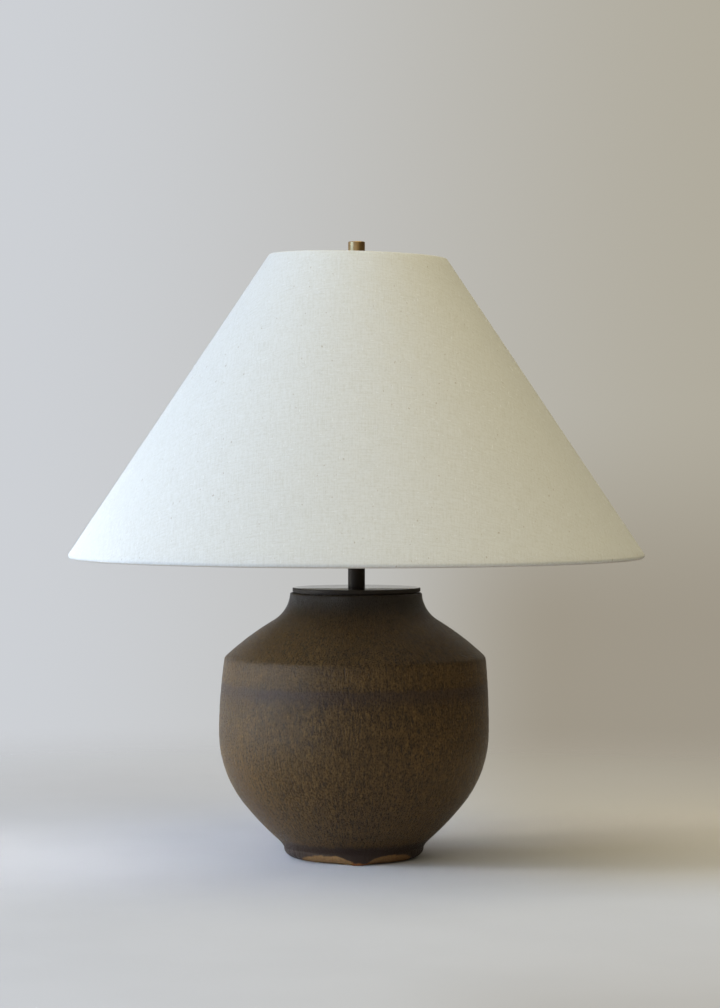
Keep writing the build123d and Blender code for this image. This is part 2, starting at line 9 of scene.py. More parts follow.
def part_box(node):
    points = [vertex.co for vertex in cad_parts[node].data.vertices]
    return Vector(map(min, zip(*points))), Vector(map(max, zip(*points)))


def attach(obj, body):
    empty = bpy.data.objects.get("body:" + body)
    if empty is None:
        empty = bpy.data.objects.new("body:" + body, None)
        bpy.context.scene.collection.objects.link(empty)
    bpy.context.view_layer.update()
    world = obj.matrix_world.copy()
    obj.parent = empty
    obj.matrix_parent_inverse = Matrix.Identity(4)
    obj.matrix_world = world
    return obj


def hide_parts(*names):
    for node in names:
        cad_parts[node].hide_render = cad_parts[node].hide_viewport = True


bl_info = {
    "name": "Pottery Table Lamp",
    "version": (1, 0, 0),
    "blender": (4, 5, 0),
    "location": "View3D > Sidebar > Lamp",
    "description": "Dresses the frame of a stoneware table lamp with its glaze, linen and metal fittings",
    "category": "Object",
}

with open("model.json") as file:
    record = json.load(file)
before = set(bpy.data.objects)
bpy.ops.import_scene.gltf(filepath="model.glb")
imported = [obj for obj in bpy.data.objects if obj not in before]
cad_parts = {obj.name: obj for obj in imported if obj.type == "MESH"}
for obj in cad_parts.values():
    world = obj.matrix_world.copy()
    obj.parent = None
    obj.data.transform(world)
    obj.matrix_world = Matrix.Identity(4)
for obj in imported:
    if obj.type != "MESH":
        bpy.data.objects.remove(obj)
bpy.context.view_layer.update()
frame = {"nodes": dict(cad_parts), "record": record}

QUARTER_TURN = math.pi / 2
FULL_TURN = 2 * math.pi
# Lengths below this count as none.
NONE_BELOW = 1e-9
# The front faces -Y, the shade's seam and the cord inlet are at the back, the switch is at +X.
BACK = QUARTER_TURN
BODY_OF = {node_name: body for body, node_names in frame["record"]["behaviour"]["bodies"].items()
           for node_name in node_names}


def low(node_name):
    """Lowest point of a CAD node."""
    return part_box(node_name)[0].z


def high(node_name):
    """Highest point of a CAD node."""
    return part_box(node_name)[1].z


def reach(node_name):
    """Largest radius of a CAD node that is turned about the lamp's axis."""
    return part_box(node_name)[1].x


def length(name, default, description):
    """Size in metres."""
    return bpy.props.FloatProperty(name=name, description=description, default=default, precision=5,
                                   unit="LENGTH")


def span(name, default, description):
    """Two heights in metres between which a finish changes."""
    return bpy.props.FloatVectorProperty(name=name, description=description, default=default, size=2,
                                         precision=5, unit="LENGTH")


def angle(name, degrees, description):
    """Angle, given in degrees and kept in radians."""
    return bpy.props.FloatProperty(name=name, description=description, default=math.radians(degrees),
                                   subtype="ANGLE")


def amount(name, default, description):
    """Plain number."""
    return bpy.props.FloatProperty(name=name, description=description, default=default, precision=4)


def count(name, default, description):
    """Whole number."""
    return bpy.props.IntProperty(name=name, description=description, default=default)


def colour(name, default, description):
    """Linear colour."""
    return bpy.props.FloatVectorProperty(name=name, description=description, default=default,
                                         subtype="COLOR", size=3, min=0.0, max=1.0)


class PotSettings(bpy.types.PropertyGroup):
    """Sizes and colours of the stoneware pot."""

    rim_radius: length("Rim radius", 0.0585, "Outer radius of the rim")
    rim_band: length("Rim band", 0.003, "Height of the upright band below the rim")
    rim_round: length("Rim rounding", 0.0018, "Rounding of the rim's two edges")
    neck_flare: angle("Neck flare", 8.0, "Lean of the neck where it leaves the rim")
    neck_radius: length("Neck base radius", 0.0735, "Radius where the neck meets the shoulder")
    neck_height: length("Neck height", 0.025, "Height of the neck from its base to the rim")
    shoulder_radius: length("Shoulder radius", 0.1155, "Radius at the shoulder's crease")
    shoulder_drop: length("Shoulder drop", 0.032, "Fall of the shoulder from the neck to its crease")
    shoulder_crown: length("Shoulder crown", 0.0014, "Bulge of the sloping shoulder")
    belly_drop: length("Belly drop", 0.066, "Fall from the shoulder's crease to the belly")
    knuckle_radius: length("Knuckle radius", 0.096, "Radius where the belly turns in to the flank")
    knuckle_height: length("Knuckle height", 0.0463, "Height where the belly turns in to the flank")
    foot_radius: length("Foot radius", 0.0618, "Radius of the trimmed foot")
    foot_height: length("Foot height", 0.0115, "Height of the trimmed foot")
    foot_softness: length("Foot softness", 0.004, "How far the flank is rounded into the foot")
    edge_softness: length("Edge softness", 0.0013, "How far the wet glaze rounds the creases")
    wall: length("Wall", 0.007, "Thickness of the wall")
    floor: length("Floor", 0.014, "Height of the floor inside")
    hollow_radius: length("Foot hollow radius", 0.042, "Radius of the hollow under the foot")
    hollow_depth: length("Foot hollow depth", 0.004, "Depth of the hollow under the foot")
    lobes: count("Lobes", 3, "Lobes of the foot that reach the table uncut")
    lobe_turn: angle("Lobe turn", 3.5, "Angle of the first lobe, from the front towards the right")
    lobe_width: angle("Lobe half width", 4.5, "Half the angle that a lobe takes")
    lobe_flank: angle("Lobe flank", 16.0, "Angle over which the bevel grows beside a lobe")
    bevel_inset: length("Bevel inset", 0.0125, "How far the bevel cuts in under the foot")
    bevel_rise: length("Bevel rise", 0.0081, "Height of the bevel's upper edge")
    throwing_ridge: length("Throwing ridge", 0.00005, "Height of the throwing marks")
    throwing_pitch: length("Throwing pitch", 0.0085, "Rise of one turn of the throwing marks")
    lean: length("Lean", 0.0023, "How far the foot and belly stand to the left of the rim")
    hole_radius: length("Cord hole radius", 0.0065, "Radius of the hole for the cord inlet")
    band_top: span("Band top", (0.1565, 0.1535), "Where the dark band sets in, below the shoulder")
    band_bottom: span("Band bottom", (0.1330, 0.1515), "Where the dark band runs out, from its end upwards")
    # Painted highlight: a lighter ochre ring just below the shoulder's crease stands for the window's sheen
    # there.
    painted_highlight_bottom: span("Crease bottom", (0.157, 0.163), "Where the lighter glaze of the crease sets in")
    painted_highlight_top: span("Crease top", (0.177, 0.171), "Where the lighter glaze of the crease runs out")
    neck_level: span("Neck level", (0.201, 0.229), "Where the glaze grows thin and dark towards the rim")
    foot_level: span("Foot level", (0.0185, 0.0140), "Where the smooth band above the foot sets in")
    glaze_fleck: colour("Flecks", (0.010, 0.009, 0.010), "Blue-black flecks in the glaze")
    glaze_dark: colour("Dark glaze", (0.030, 0.0195, 0.0105), "Iron-black streaks")
    glaze_brown: colour("Brown glaze", (0.069, 0.0395, 0.0142), "Ground of the glaze")
    glaze_rust: colour("Rust glaze", (0.111, 0.063, 0.0215), "Lighter rust streaks")
    glaze_ochre: colour("Ochre glaze", (0.195, 0.114, 0.039), "Crystals in the glaze")
    glaze_rim: colour("Rim glaze", (0.026, 0.0185, 0.0115), "Thin, dark glaze at the rim")
    glaze_band: colour("Band glaze", (0.050, 0.031, 0.0225), "Dark band of glaze below the shoulder")
    glaze_foot: colour("Foot glaze", (0.038, 0.0225, 0.0145), "Smooth band of glaze above the foot")
    clay: colour("Bare clay", (0.275, 0.15, 0.058), "Bare clay of the foot")
    clay_toasted: colour("Toasted clay", (0.27, 0.098, 0.029), "Clay where it stands on the table")


class ShadeSettings(bpy.types.PropertyGroup):
    """Sizes and colours of the linen shade."""

    hem_radius: length("Hem radius", 0.0026, "Outer radius of the rolled edges")
    cover: length("Cover", 0.0008, "Thickness of the linen")
    hem_wrap: angle("Hem wrap", 235.0, "How far the linen wraps round each ring")
    top_tilt: length("Top tilt", 0.0021, "How far the top edge drops to the right")
    segments: count("Segments", 288, "Columns of faces round the shade")
    slubs: amount("Slubs", 5200, "Slubs on a square metre of linen")
    slub_length: length("Slub length", 0.005, "Length of a usual slub")
    slub_width: length("Slub width", 0.00066, "Width of a slub")
    seam_width: length("Seam width", 0.012, "Width of the overlap at the back")
    thread: length("Thread", 0.00062, "Distance between threads of the weave")
    linen: colour("Linen", (0.845, 0.835, 0.79), "Off-white of the linen")
    linen_shadow: colour("Linen shadow", (0.70, 0.675, 0.595), "Between the threads")
    husk: colour("Husk", (0.42, 0.33, 0.22), "Specks of husk in the yarn")
    slub: colour("Slub", (0.95, 0.945, 0.91), "Paler, thicker stretches of yarn")


class FittingSettings(bpy.types.PropertyGroup):
    """Sizes and colours of the metal fittings, the lamp holder and the bulb."""

    edge: length("Edge", 0.0004, "Rounding of turned edges")
    cap_step: length("Cap step", 0.0025, "How far the step under the cap is set back")
    cap_reveal: length("Cap reveal", 0.001, "Height of the dark gap under the cap")
    cap_spigot: length("Cap spigot", 0.0509, "Radius of the spigot inside the pot's neck")
    spigot_wall: length("Spigot wall", 0.002, "Wall of the cap's spigot")
    pipe_hole: length("Pipe hole", 0.00505, "Radius of the holes over the threaded pipe")
    stem_wall: length("Stem wall", 0.0012, "Wall of the stem")
    finial_bore: length("Finial bore", 0.00335, "Radius of the finial's tapped hole")
    finial_bore_depth: length("Finial bore depth", 0.0124, "Depth of the finial's tapped hole")
    finial_edge: length("Finial edge", 0.0009, "Rounding of the finial's top edge")
    thread_pitch: length("Bulb thread pitch", 0.0036, "Rise of one turn of the bulb's thread")
    thread_depth: length("Bulb thread depth", 0.0007, "Depth of the bulb's rolled thread")
    sheet: length("Sheet", 0.0006, "Wall of the spun brass shell")
    bead: length("Bead", 0.0004, "Height of the beads rolled round the shell")
    slot_half: length("Slot half width", 0.0034, "Half width of the switch slot in the shell")
    ferrule_bore: length("Ferrule bore", 0.0023, "Bore of a harp ferrule")
    ferrule_wall: length("Ferrule wall", 0.0013, "Wall of a harp ferrule")
    ferrule_collar: length("Ferrule collar", 0.0024, "Height of the collar at a ferrule's foot")
    knurl: length("Knurl", 0.00012, "Depth of the knurl on a ferrule")
    inlet_bore: length("Inlet bore", 0.0036, "Bore of the cord inlet")
    inlet_wall: length("Inlet wall", 0.0026, "Wall of the cord inlet")
    inlet_flange: length("Inlet flange", 0.0028, "How far the flange stands out")
    inlet_flange_height: length("Inlet flange height", 0.0022, "Thickness of the flange")
    bronze: colour("Dark bronze", (0.036, 0.031, 0.027), "Patina of the cap and stem")
    bronze_worn: colour("Worn bronze", (0.085, 0.064, 0.046), "Bronze where the patina is thin")
    brass: colour("Aged brass", (0.50, 0.335, 0.155), "Finial")
    brass_dark: colour("Tarnish", (0.27, 0.165, 0.070), "Tarnish on the finial")
    spun_brass: colour("Spun brass", (0.76, 0.56, 0.27), "Lamp holder")
    nickel: colour("Nickel", (0.66, 0.64, 0.60), "Harp and spider")
    zinc: colour("Zinc", (0.58, 0.59, 0.60), "Hidden steel fittings")
    aluminium: colour("Aluminium", (0.78, 0.78, 0.77), "Base of the bulb")
    enamel: colour("Enamel", (0.80, 0.79, 0.75), "Wire rings of the shade")
    liner: colour("Liner", (0.86, 0.845, 0.79), "White sheet inside the shade")
    glass: colour("Frosted glass", (0.92, 0.92, 0.90), "Globe of the bulb")
    phenolic: colour("Phenolic", (0.028, 0.026, 0.024), "Moulded insulation and knob")
    vitrite: colour("Vitrite", (0.020, 0.020, 0.024), "Black glass under the bulb's base")
    fibre: colour("Fibre", (0.40, 0.28, 0.16), "Pressed fibre tube")
    rubber: colour("Rubber", (0.026, 0.026, 0.027), "Cord inlet")


class StageSettings(bpy.types.PropertyGroup):
    """Floor, room, lights and camera."""

    lens: amount("Lens", 105.54, "Focal length in millimetres on a 36 mm frame")
    distance: length("Distance", 2.614, "From the camera to the lamp's axis")
    eye_height: length("Eye height", 0.356, "Height of the camera")
    eye_side: length("Eye side", 0.0031, "How far the camera stands to the right")
    tilt: angle("Tilt", 0.96, "How far the camera looks down")
    floor_gap: length("Floor gap", 0.0002, "How far the floor lies under the foot")
    floor_fade: length("Floor fade", 0.35, "Radius where the floor starts to fade into the room")
    floor_radius: length("Floor radius", 1.35, "Radius where the floor ends")
    floor: colour("Floor", (0.695, 0.690, 0.722), "Pale floor")
    # Painted shadow: the floor behind the lamp on the right is painted darker and warmer, standing for the
    # lamp's cast shadow.
    floor_painted_shadow: colour("Floor on the right", (0.595, 0.55, 0.485), "Pale floor behind the lamp on the right")
    room_left: colour("Room on the left", (0.615, 0.637, 0.672), "Cool, pale side of the room")
    room_right: colour("Room on the right", (0.435, 0.407, 0.335), "Warm, shaded side of the room")
    room_shadow: colour("Room shadow", (0.345, 0.31, 0.25), "Wall in the lamp's shadow, low on the right")
    room_far: colour("Far right of the room", (0.10, 0.085, 0.06), "Darkest side of the room")
    window: colour("Window", (0.255, 0.515, 1.0), "Cool light from the left")
    window_power: amount("Window power", 20.8, "Watts of the window light")
    low_window: colour("Low window", (0.76, 0.88, 1.0), "Low light on the left side of the pot")
    low_power: amount("Low window power", 0.56, "Watts of the low window light")
    pool: colour("Pool", (1.0, 0.98, 0.90), "Light on the floor left of the pot")
    pool_power: amount("Pool power", 0.24, "Watts of the light on the floor")
    ceiling: colour("Ceiling", (1.0, 0.906, 0.55), "Warm light from above")
    ceiling_power: amount("Ceiling power", 29.5, "Watts of the light from above")


def node(tree, kind, inputs=None, **settings):
    """Adds a node, sets its settings, and links or sets its inputs."""
    made = tree.nodes.new(kind)
    for key, value in settings.items():
        setattr(made, key, value)
    for key, value in (inputs or {}).items():
        if isinstance(value, bpy.types.NodeSocket):
            tree.links.new(value, made.inputs[key])
        else:
            made.inputs[key].default_value = value
    return made


def math_of(tree, operation, first, second=0.0, third=0.0):
    """Result of one Math node."""
    return node(tree, "ShaderNodeMath", {0: first, 1: second, 2: third}, operation=operation).outputs[0]


def plus(tree, first, second):
    """Sum of two values."""
    return math_of(tree, "ADD", first, second)


def times(tree, first, second):
    """Product of two values."""
    return math_of(tree, "MULTIPLY", first, second)


def scaled(tree, value, factor, offset):
    """Value times a factor, plus an offset."""
    return math_of(tree, "MULTIPLY_ADD", value, factor, offset)


def between(tree, value, start, end, low_value=0.0, high_value=1.0):
    """Value spread smoothly from low_value at start to high_value at end."""
    spread = node(tree, "ShaderNodeMapRange", {"Value": value, "From Min": start, "From Max": end,
                                               "To Min": low_value, "To Max": high_value},
                  interpolation_type="SMOOTHSTEP")
    return spread.outputs["Result"]


def opaque(tint):
    """Colour with an alpha of one; a socket is passed on."""
    return tint if isinstance(tint, bpy.types.NodeSocket) else (*tint, 1.0)


def mixed(tree, factor, first, second):
    """Two colours mixed by a factor."""
    factor_input, first_input, second_input, colour_output = 0, 6, 7, 2
    mix = node(tree, "ShaderNodeMix",
               {factor_input: factor, first_input: opaque(first), second_input: opaque(second)},
               data_type="RGBA", blend_type="MIX")
    return mix.outputs[colour_output]


def dimmed(tint, share):
    """Colour with its light brought down to a share."""
    return tuple(share * part for part in tint)


def parts_of(tree, vector):
    """X, Y and Z of a vector."""
    return node(tree, "ShaderNodeSeparateXYZ", {0: vector}).outputs


def stretched(tree, vector, scale):
    """Vector multiplied along each axis."""
    return node(tree, "ShaderNodeVectorMath", {0: vector, 1: scale}, operation="MULTIPLY").outputs[0]


def length_of(tree, vector):
    """Length of a vector."""
    return node(tree, "ShaderNodeVectorMath", {0: vector}, operation="LENGTH").outputs["Value"]


def stored(tree, name, output="Fac"):
    """Value that a mesh keeps under a name."""
    return node(tree, "ShaderNodeAttribute", attribute_name=name).outputs[output]


def noise(tree, vector, scale, detail=2.0, roughness=0.5):
    """Soft random value from 0 to 1."""
    made = node(tree, "ShaderNodeTexNoise", {"Vector": vector, "Scale": scale, "Detail": detail,
                                             "Roughness": roughness})
    return made.outputs["Fac"]


def finish(name, **constants):
    """New material with one Principled shader: the material, its tree, the shader and Object coordinates."""
    material = bpy.data.materials.new(name)
    material.use_nodes = True
    tree = material.node_tree
    shader = tree.nodes["Principled BSDF"]
    for key, value in constants.items():
        shader.inputs[key.replace("_", " ").title().replace("Ior", "IOR")].default_value = value
    place = node(tree, "ShaderNodeTexCoord").outputs["Object"]
    return material, tree, shader, place


def plug(tree, shader, **values):
    """Links values to a shader's inputs, named in lower case."""
    for key, value in values.items():
        tree.links.new(value, shader.inputs[key.replace("_", " ").title()])


def bump(tree, shader, height, distance, strength=1.0):
    """Gives a shader fine relief."""
    relief = node(tree, "ShaderNodeBump", {"Height": height, "Distance": distance, "Strength": strength})
    plug(tree, shader, normal=relief.outputs["Normal"])


def glaze(pot):
    """Streaked iron glaze over stoneware, thin at the rim, smooth above the foot, bare under it."""
    material, tree, shader, place = finish("stoneware_glaze", specular_ior_level=0.17)
    flow = stored(tree, "glaze_flow", "Vector")
    streak = noise(tree, stretched(tree, flow, (1.0, 1.0, 0.2)), scale=560.0, detail=3.0, roughness=0.65)
    grain = noise(tree, stretched(tree, flow, (1.0, 1.0, 0.6)), scale=820.0, detail=2.0, roughness=0.6)
    fleck = noise(tree, stretched(tree, flow, (1.0, 1.0, 0.25)), scale=480.0, detail=1.0)
    cloud = noise(tree, place, scale=16.0, detail=3.0)
    edge = noise(tree, stretched(tree, flow, (1.0, 1.0, 0.3)), scale=130.0, detail=2.0)
    waver = 0.006
    level = plus(tree, parts_of(tree, place)["Z"], scaled(tree, edge, factor=waver, offset=-waver / 2))

    streak_share, grain_share = 0.45, 0.55
    tone = plus(tree, times(tree, streak, streak_share), times(tree, grain, grain_share))
    ramp = node(tree, "ShaderNodeValToRGB", {"Fac": tone})
    stops = ramp.color_ramp.elements
    stops[0].position, stops[0].color = 0.38, opaque(pot.glaze_dark)
    stops[1].position, stops[1].color = 0.64, opaque(pot.glaze_ochre)
    for position, tint in ((0.47, pot.glaze_brown), (0.55, pot.glaze_rust)):
        stop = stops.new(position)
        stop.color = opaque(tint)
    flecked = between(tree, fleck, start=0.64, end=0.69, high_value=0.6)
    body = mixed(tree, flecked, ramp.outputs["Color"], pot.glaze_fleck)
    body = mixed(tree, between(tree, cloud, start=0.35, end=0.65, high_value=0.2), body, pot.glaze_brown)

    band_strength, band_fade, painted_highlight_strength, neck_strength = 0.62, 1.6, 0.11, 0.94
    band_lower = math_of(tree, "POWER", between(tree, level, *pot.band_bottom), band_fade)
    band = times(tree, between(tree, level, *pot.band_top), band_lower)
    body = mixed(tree, times(tree, band, band_strength), body, pot.glaze_band)
    # Painted highlight: the ring just below the shoulder's crease is mixed a little towards ochre, for the
    # window's sheen there.
    crease = times(tree, between(tree, level, *pot.painted_highlight_bottom), between(tree, level, *pot.painted_highlight_top))
    body = mixed(tree, times(tree, crease, painted_highlight_strength), body, pot.glaze_ochre)
    body = mixed(tree, between(tree, level, *pot.neck_level, high_value=neck_strength), body, pot.glaze_rim)
    foot = between(tree, level, *pot.foot_level)
    body = mixed(tree, foot, body, pot.glaze_foot)

    bare = stored(tree, "bare_clay")
    clay = mixed(tree, stored(tree, "toasted_clay"), pot.clay, pot.clay_toasted)
    clay_grain = noise(tree, place, scale=900.0, detail=3.0)
    clay = mixed(tree, between(tree, clay_grain, start=0.3, end=0.7, high_value=0.4), clay, pot.glaze_brown)

    foot_dullness, clay_dullness = 0.06, 0.35
    gloss = between(tree, grain, start=0.35, end=0.65, low_value=0.22, high_value=0.54)
    gloss = scaled(tree, foot, factor=foot_dullness, offset=gloss)
    gloss = scaled(tree, bare, factor=clay_dullness, offset=gloss)
    plug(tree, shader, base_color=mixed(tree, bare, body, clay), roughness=gloss)
    bump(tree, shader, tone, distance=0.0015)
    return material


def linen(shade, hem_start):
    """Plain weave of uneven yarn, with husks, laid out on the flat cut and browner under the lower hem."""
    material, tree, shader, place = finish("linen", roughness=0.88, sheen_weight=0.18, sheen_roughness=0.5,
                                           specular_ior_level=0.25)
    flat = node(tree, "ShaderNodeUVMap", uv_map="flat_cut").outputs["UV"]
    drift = noise(tree, flat, scale=45.0, detail=2.0)
    wander = 0.0016
    turns = math.pi / shade.thread
    warp, weft = (math_of(tree, "SINE", times(tree, scaled(tree, drift, factor=wander, offset=part), turns))
                  for part in parts_of(tree, flat)[:2])
    over = math_of(tree, "GREATER_THAN", times(tree, warp, weft), 0.0)
    weave = plus(tree, times(tree, over, math_of(tree, "ABSOLUTE", warp)),
                 times(tree, math_of(tree, "SUBTRACT", 1.0, over), math_of(tree, "ABSOLUTE", weft)))
    up, across = (noise(tree, stretched(tree, flat, along), scale=1100.0, detail=2.0)
                  for along in ((1.0, 0.05, 1.0), (0.05, 1.0, 1.0)))
    yarns = times(tree, plus(tree, up, across), 0.5)
    fuzz = noise(tree, place, scale=1400.0, detail=2.0)
    mottle = noise(tree, flat, scale=420.0, detail=3.0, roughness=0.6)

    weave_share, yarn_share, mottle_share = 0.25, 0.75, 0.5
    lit = plus(tree, times(tree, weave, weave_share), times(tree, yarns, yarn_share))
    lit = plus(tree, lit, scaled(tree, mottle, factor=mottle_share, offset=-mottle_share / 2))
    body = mixed(tree, between(tree, lit, start=0.22, end=0.72), shade.linen_shadow, shade.linen)
    speck = noise(tree, stretched(tree, flat, (1.0, 0.6, 1.0)), scale=330.0, detail=1.0)
    body = mixed(tree, between(tree, speck, start=0.72, end=0.79, high_value=0.5), body, shade.husk)
    # The turned-under part of the lower hem is mixed up to half way to the husk colour, giving a thin browner
    # edge.
    hem = between(tree, length_of(tree, flat), hem_start, hem_start + shade.hem_radius, high_value=0.5)
    plug(tree, shader, base_color=mixed(tree, hem, body, shade.husk))

    weave_relief, fuzz_relief = 0.5, 0.4
    relief = plus(tree, times(tree, weave, weave_relief), yarns)
    relief = plus(tree, relief, times(tree, fuzz, fuzz_relief))
    bump(tree, shader, relief, distance=0.00022, strength=0.7)
    return material


def yarn(shade):
    """Thick, pale yarn of the slubs."""
    material, tree, shader, place = finish("slub_yarn", roughness=0.9, sheen_weight=0.2)
    twist = noise(tree, place, scale=2600.0, detail=2.0)
    body = mixed(tree, between(tree, twist, start=0.3, end=0.7), shade.linen, shade.slub)
    plug(tree, shader, base_color=body)
    bump(tree, shader, twist, distance=0.0001)
    return material


def turned_metal(name, main, worn, roughness, brushing, tarnish, polished=None):
    """Metal with fine turning lines round the lamp's axis and tarnish, polished where the mesh says so."""
    material, tree, shader, place = finish(name, metallic=1.0)
    parts = parts_of(tree, place)
    square = plus(tree, times(tree, parts["X"], parts["X"]), times(tree, parts["Y"], parts["Y"]))
    radius = math_of(tree, "POWER", square, 0.5)
    rings = node(tree, "ShaderNodeCombineXYZ", {"X": radius, "Z": parts["Z"]}).outputs[0]
    lines = noise(tree, rings, scale=5200.0, detail=3.0, roughness=0.7)
    patch = noise(tree, place, scale=95.0, detail=4.0, roughness=0.65)
    body = mixed(tree, between(tree, patch, start=0.42, end=0.68, high_value=tarnish), main, worn)
    body = mixed(tree, between(tree, lines, start=0.3, end=0.7, high_value=0.3), body, worn)
    even_share, line_share, patch_share = 0.55, 0.5, 0.4
    gloss = scaled(tree, lines, factor=line_share * roughness, offset=even_share * roughness)
    gloss = scaled(tree, patch, factor=patch_share * roughness, offset=gloss)
    if polished is not None:
        share = between(tree, stored(tree, "polish"), start=0.0, end=1.0, low_value=1.0,
                        high_value=polished / roughness)
        gloss = times(tree, gloss, share)
    plug(tree, shader, base_color=body, roughness=gloss)
    bump(tree, shader, lines, distance=brushing)
    return material


def plated_metal(name, main, roughness):
    """Plated wire or strip with faint handling marks."""
    material, tree, shader, place = finish(name, metallic=1.0)
    haze = noise(tree, place, scale=160.0, detail=4.0, roughness=0.6)
    scratch = noise(tree, stretched(tree, place, (1.0, 1.0, 0.08)), scale=3800.0, detail=2.0)
    body = mixed(tree, between(tree, haze, start=0.4, end=0.75, high_value=0.7), main, dimmed(main, 0.72))
    scratch_range, haze_range = 0.14, 0.1
    gloss = scaled(tree, scratch, factor=scratch_range, offset=roughness - scratch_range / 2)
    gloss = scaled(tree, haze, factor=haze_range, offset=gloss)
    plug(tree, shader, base_color=body, roughness=gloss)
    bump(tree, shader, scratch, distance=0.00004)
    return material


def moulded(name, main, roughness, grain_size, relief, mottle=0.78):
    """Moulded, painted or pressed surface with a fine grain, darkened in patches to a share."""
    material, tree, shader, place = finish(name)
    grain = noise(tree, place, 1.0 / grain_size, detail=3.0, roughness=0.6)
    cloud = noise(tree, place, scale=40.0, detail=3.0)
    blend = times(tree, plus(tree, grain, cloud), 0.5)
    body = mixed(tree, between(tree, blend, start=0.35, end=0.65), dimmed(main, mottle), main)
    grain_range = 0.14
    gloss = scaled(tree, grain, factor=grain_range, offset=roughness - grain_range / 2)
    plug(tree, shader, base_color=body, roughness=gloss)
    bump(tree, shader, grain, distance=relief)
    return material


def frosted_glass(fitting):
    """White, softly frosted glass."""
    material, tree, shader, place = finish("bulb_glass", subsurface_weight=0.35, subsurface_scale=0.004,
                                           coat_weight=0.25, coat_roughness=0.2)
    frost = noise(tree, place, scale=900.0, detail=3.0)
    cloud = noise(tree, place, scale=30.0, detail=2.0)
    warmth = (0.97, 0.96, 0.92)
    warm = tuple(part * share for part, share in zip(fitting.glass, warmth))
    body = mixed(tree, between(tree, cloud, start=0.35, end=0.65), fitting.glass, warm)
    plug(tree, shader, base_color=body, roughness=scaled(tree, frost, factor=0.12, offset=0.30))
    bump(tree, shader, frost, distance=0.00003)
    return material


def floor_paint(stage):
    """Pale matt paint with a faint tooth and a darker, warmer painted shadow behind the lamp on the right,
    which fades into the room at its edge.
    """
    material, tree, shader, place = finish("stage_paint", roughness=0.9, specular_ior_level=0.15)
    tooth = noise(tree, place, scale=6.0, detail=3.0)
    paint = mixed(tree, between(tree, tooth, start=0.35, end=0.65), stage.floor, dimmed(stage.floor, 0.975))
    parts = parts_of(tree, place)
    # Mask of the painted shadow of the lamp, behind it on the right.
    right = times(tree, between(tree, parts["X"], start=-0.04, end=0.22),
                  between(tree, parts["Y"], start=-0.28, end=-0.02))
    fade = between(tree, length_of(tree, place), stage.floor_fade, stage.floor_radius, low_value=1.0,
                   high_value=0.0)
    under = node(tree, "ShaderNodeNewGeometry").outputs["Backfacing"]
    seen = times(tree, fade, math_of(tree, "SUBTRACT", 1.0, under))
    plug(tree, shader, base_color=mixed(tree, right, paint, stage.floor_painted_shadow), alpha=seen)
    return material


def evenly(start, end, steps):
    """Values or points spread evenly from start to end, both included."""
    return [start + (end - start) * step / steps for step in range(steps + 1)]


def arc_from(start, tangent, end, steps):
    """Points on the arc that leaves start along a tangent and reaches end, without start itself."""
    start, tangent, end = (np.array(p, float) for p in (start, tangent, end))
    tangent = tangent / np.linalg.norm(tangent)
    chord = end - start
    normal = np.array((-tangent[1], tangent[0]))
    offset = chord @ normal
    if abs(offset) < NONE_BELOW:
        return [tuple(start + chord * step / steps) for step in range(1, steps + 1)]
    radius = (chord @ chord) / (2 * offset)
    centre = start + normal * radius
    spoke = start - centre
    sweep = 2 * math.atan2(offset, chord @ tangent)
    turns = (sweep * step / steps for step in range(1, steps + 1))
    return [tuple(centre + (spoke[0] * math.cos(t) - spoke[1] * math.sin(t),
                            spoke[0] * math.sin(t) + spoke[1] * math.cos(t))) for t in turns]


def arc_over(start, end, rise, steps):
    """Points on the arc from start to end that bulges to the right of its chord by rise."""
    chord = np.array(end) - np.array(start)
    half = math.hypot(*chord) / 2
    lean = 2 * math.atan2(rise, half)
    along = math.atan2(chord[1], chord[0]) - lean
    return arc_from(start, (math.cos(along), math.sin(along)), end, steps)


def arc_round(centre, radius, start, turn, steps):
    """Points on an arc about a centre, both ends included."""
    angles = (start + turn * step / steps for step in range(steps + 1))
    return [(centre[0] + radius * math.cos(a), centre[1] + radius * math.sin(a)) for a in angles]


def rounded(*corners, steps=4):
    """Closed or open outline whose corners (radius, height, rounding) are turned to arcs."""
    outline = []
    total = len(corners)
    for index, corner in enumerate(corners):
        here = np.array(corner[:2], float)
        rounding = corner[2] if len(corner) > 2 else 0.0
        if rounding <= 0.0:
            outline.append(tuple(here))
            continue
        before = np.array(corners[index - 1][:2], float) - here
        after = np.array(corners[(index + 1) % total][:2], float) - here
        before, after = before / np.linalg.norm(before), after / np.linalg.norm(after)
        half = math.acos(max(-1.0, min(1.0, before @ after))) / 2
        setback = rounding / math.tan(half)
        first, last = here + before * setback, here + after * setback
        outline.append(tuple(first))
        outline.extend(arc_from(first, -before, last, steps))
    return outline


def softened(points, spacing, softness):
    """Outline resampled evenly and rounded by a running mean, with its ends kept."""
    oversampling, kernel_reach = 4, 4
    points = np.array(points, float)
    steps = np.hypot(*np.diff(points, axis=0).T)
    run = np.concatenate(([0.0], np.cumsum(steps)))
    rows = max(2, round(run[-1] / spacing))
    fine = np.linspace(0.0, run[-1], rows * oversampling + 1)
    dense = np.column_stack([np.interp(fine, run, points[:, axis]) for axis in (0, 1)])
    step = fine[1]
    margin = int(kernel_reach * softness / step)
    kernel = np.exp(-0.5 * (np.arange(-margin, margin + 1) * step / softness) ** 2)
    kernel /= kernel.sum()
    before = 2 * dense[0] - dense[margin:0:-1]
    after = 2 * dense[-1] - dense[-2:-margin - 2:-1]
    padded = np.vstack((before, dense, after))
    soft = np.column_stack([np.convolve(padded[:, axis], kernel, mode="valid") for axis in (0, 1)])
    return [tuple(point) for point in soft[::oversampling]]


def socket_id(tree, name):
    """Identifier of a tree's named input."""
    return next(item.identifier for item in tree.interface.items_tree
                if item.item_type == "SOCKET" and item.in_out == "INPUT" and item.name == name)


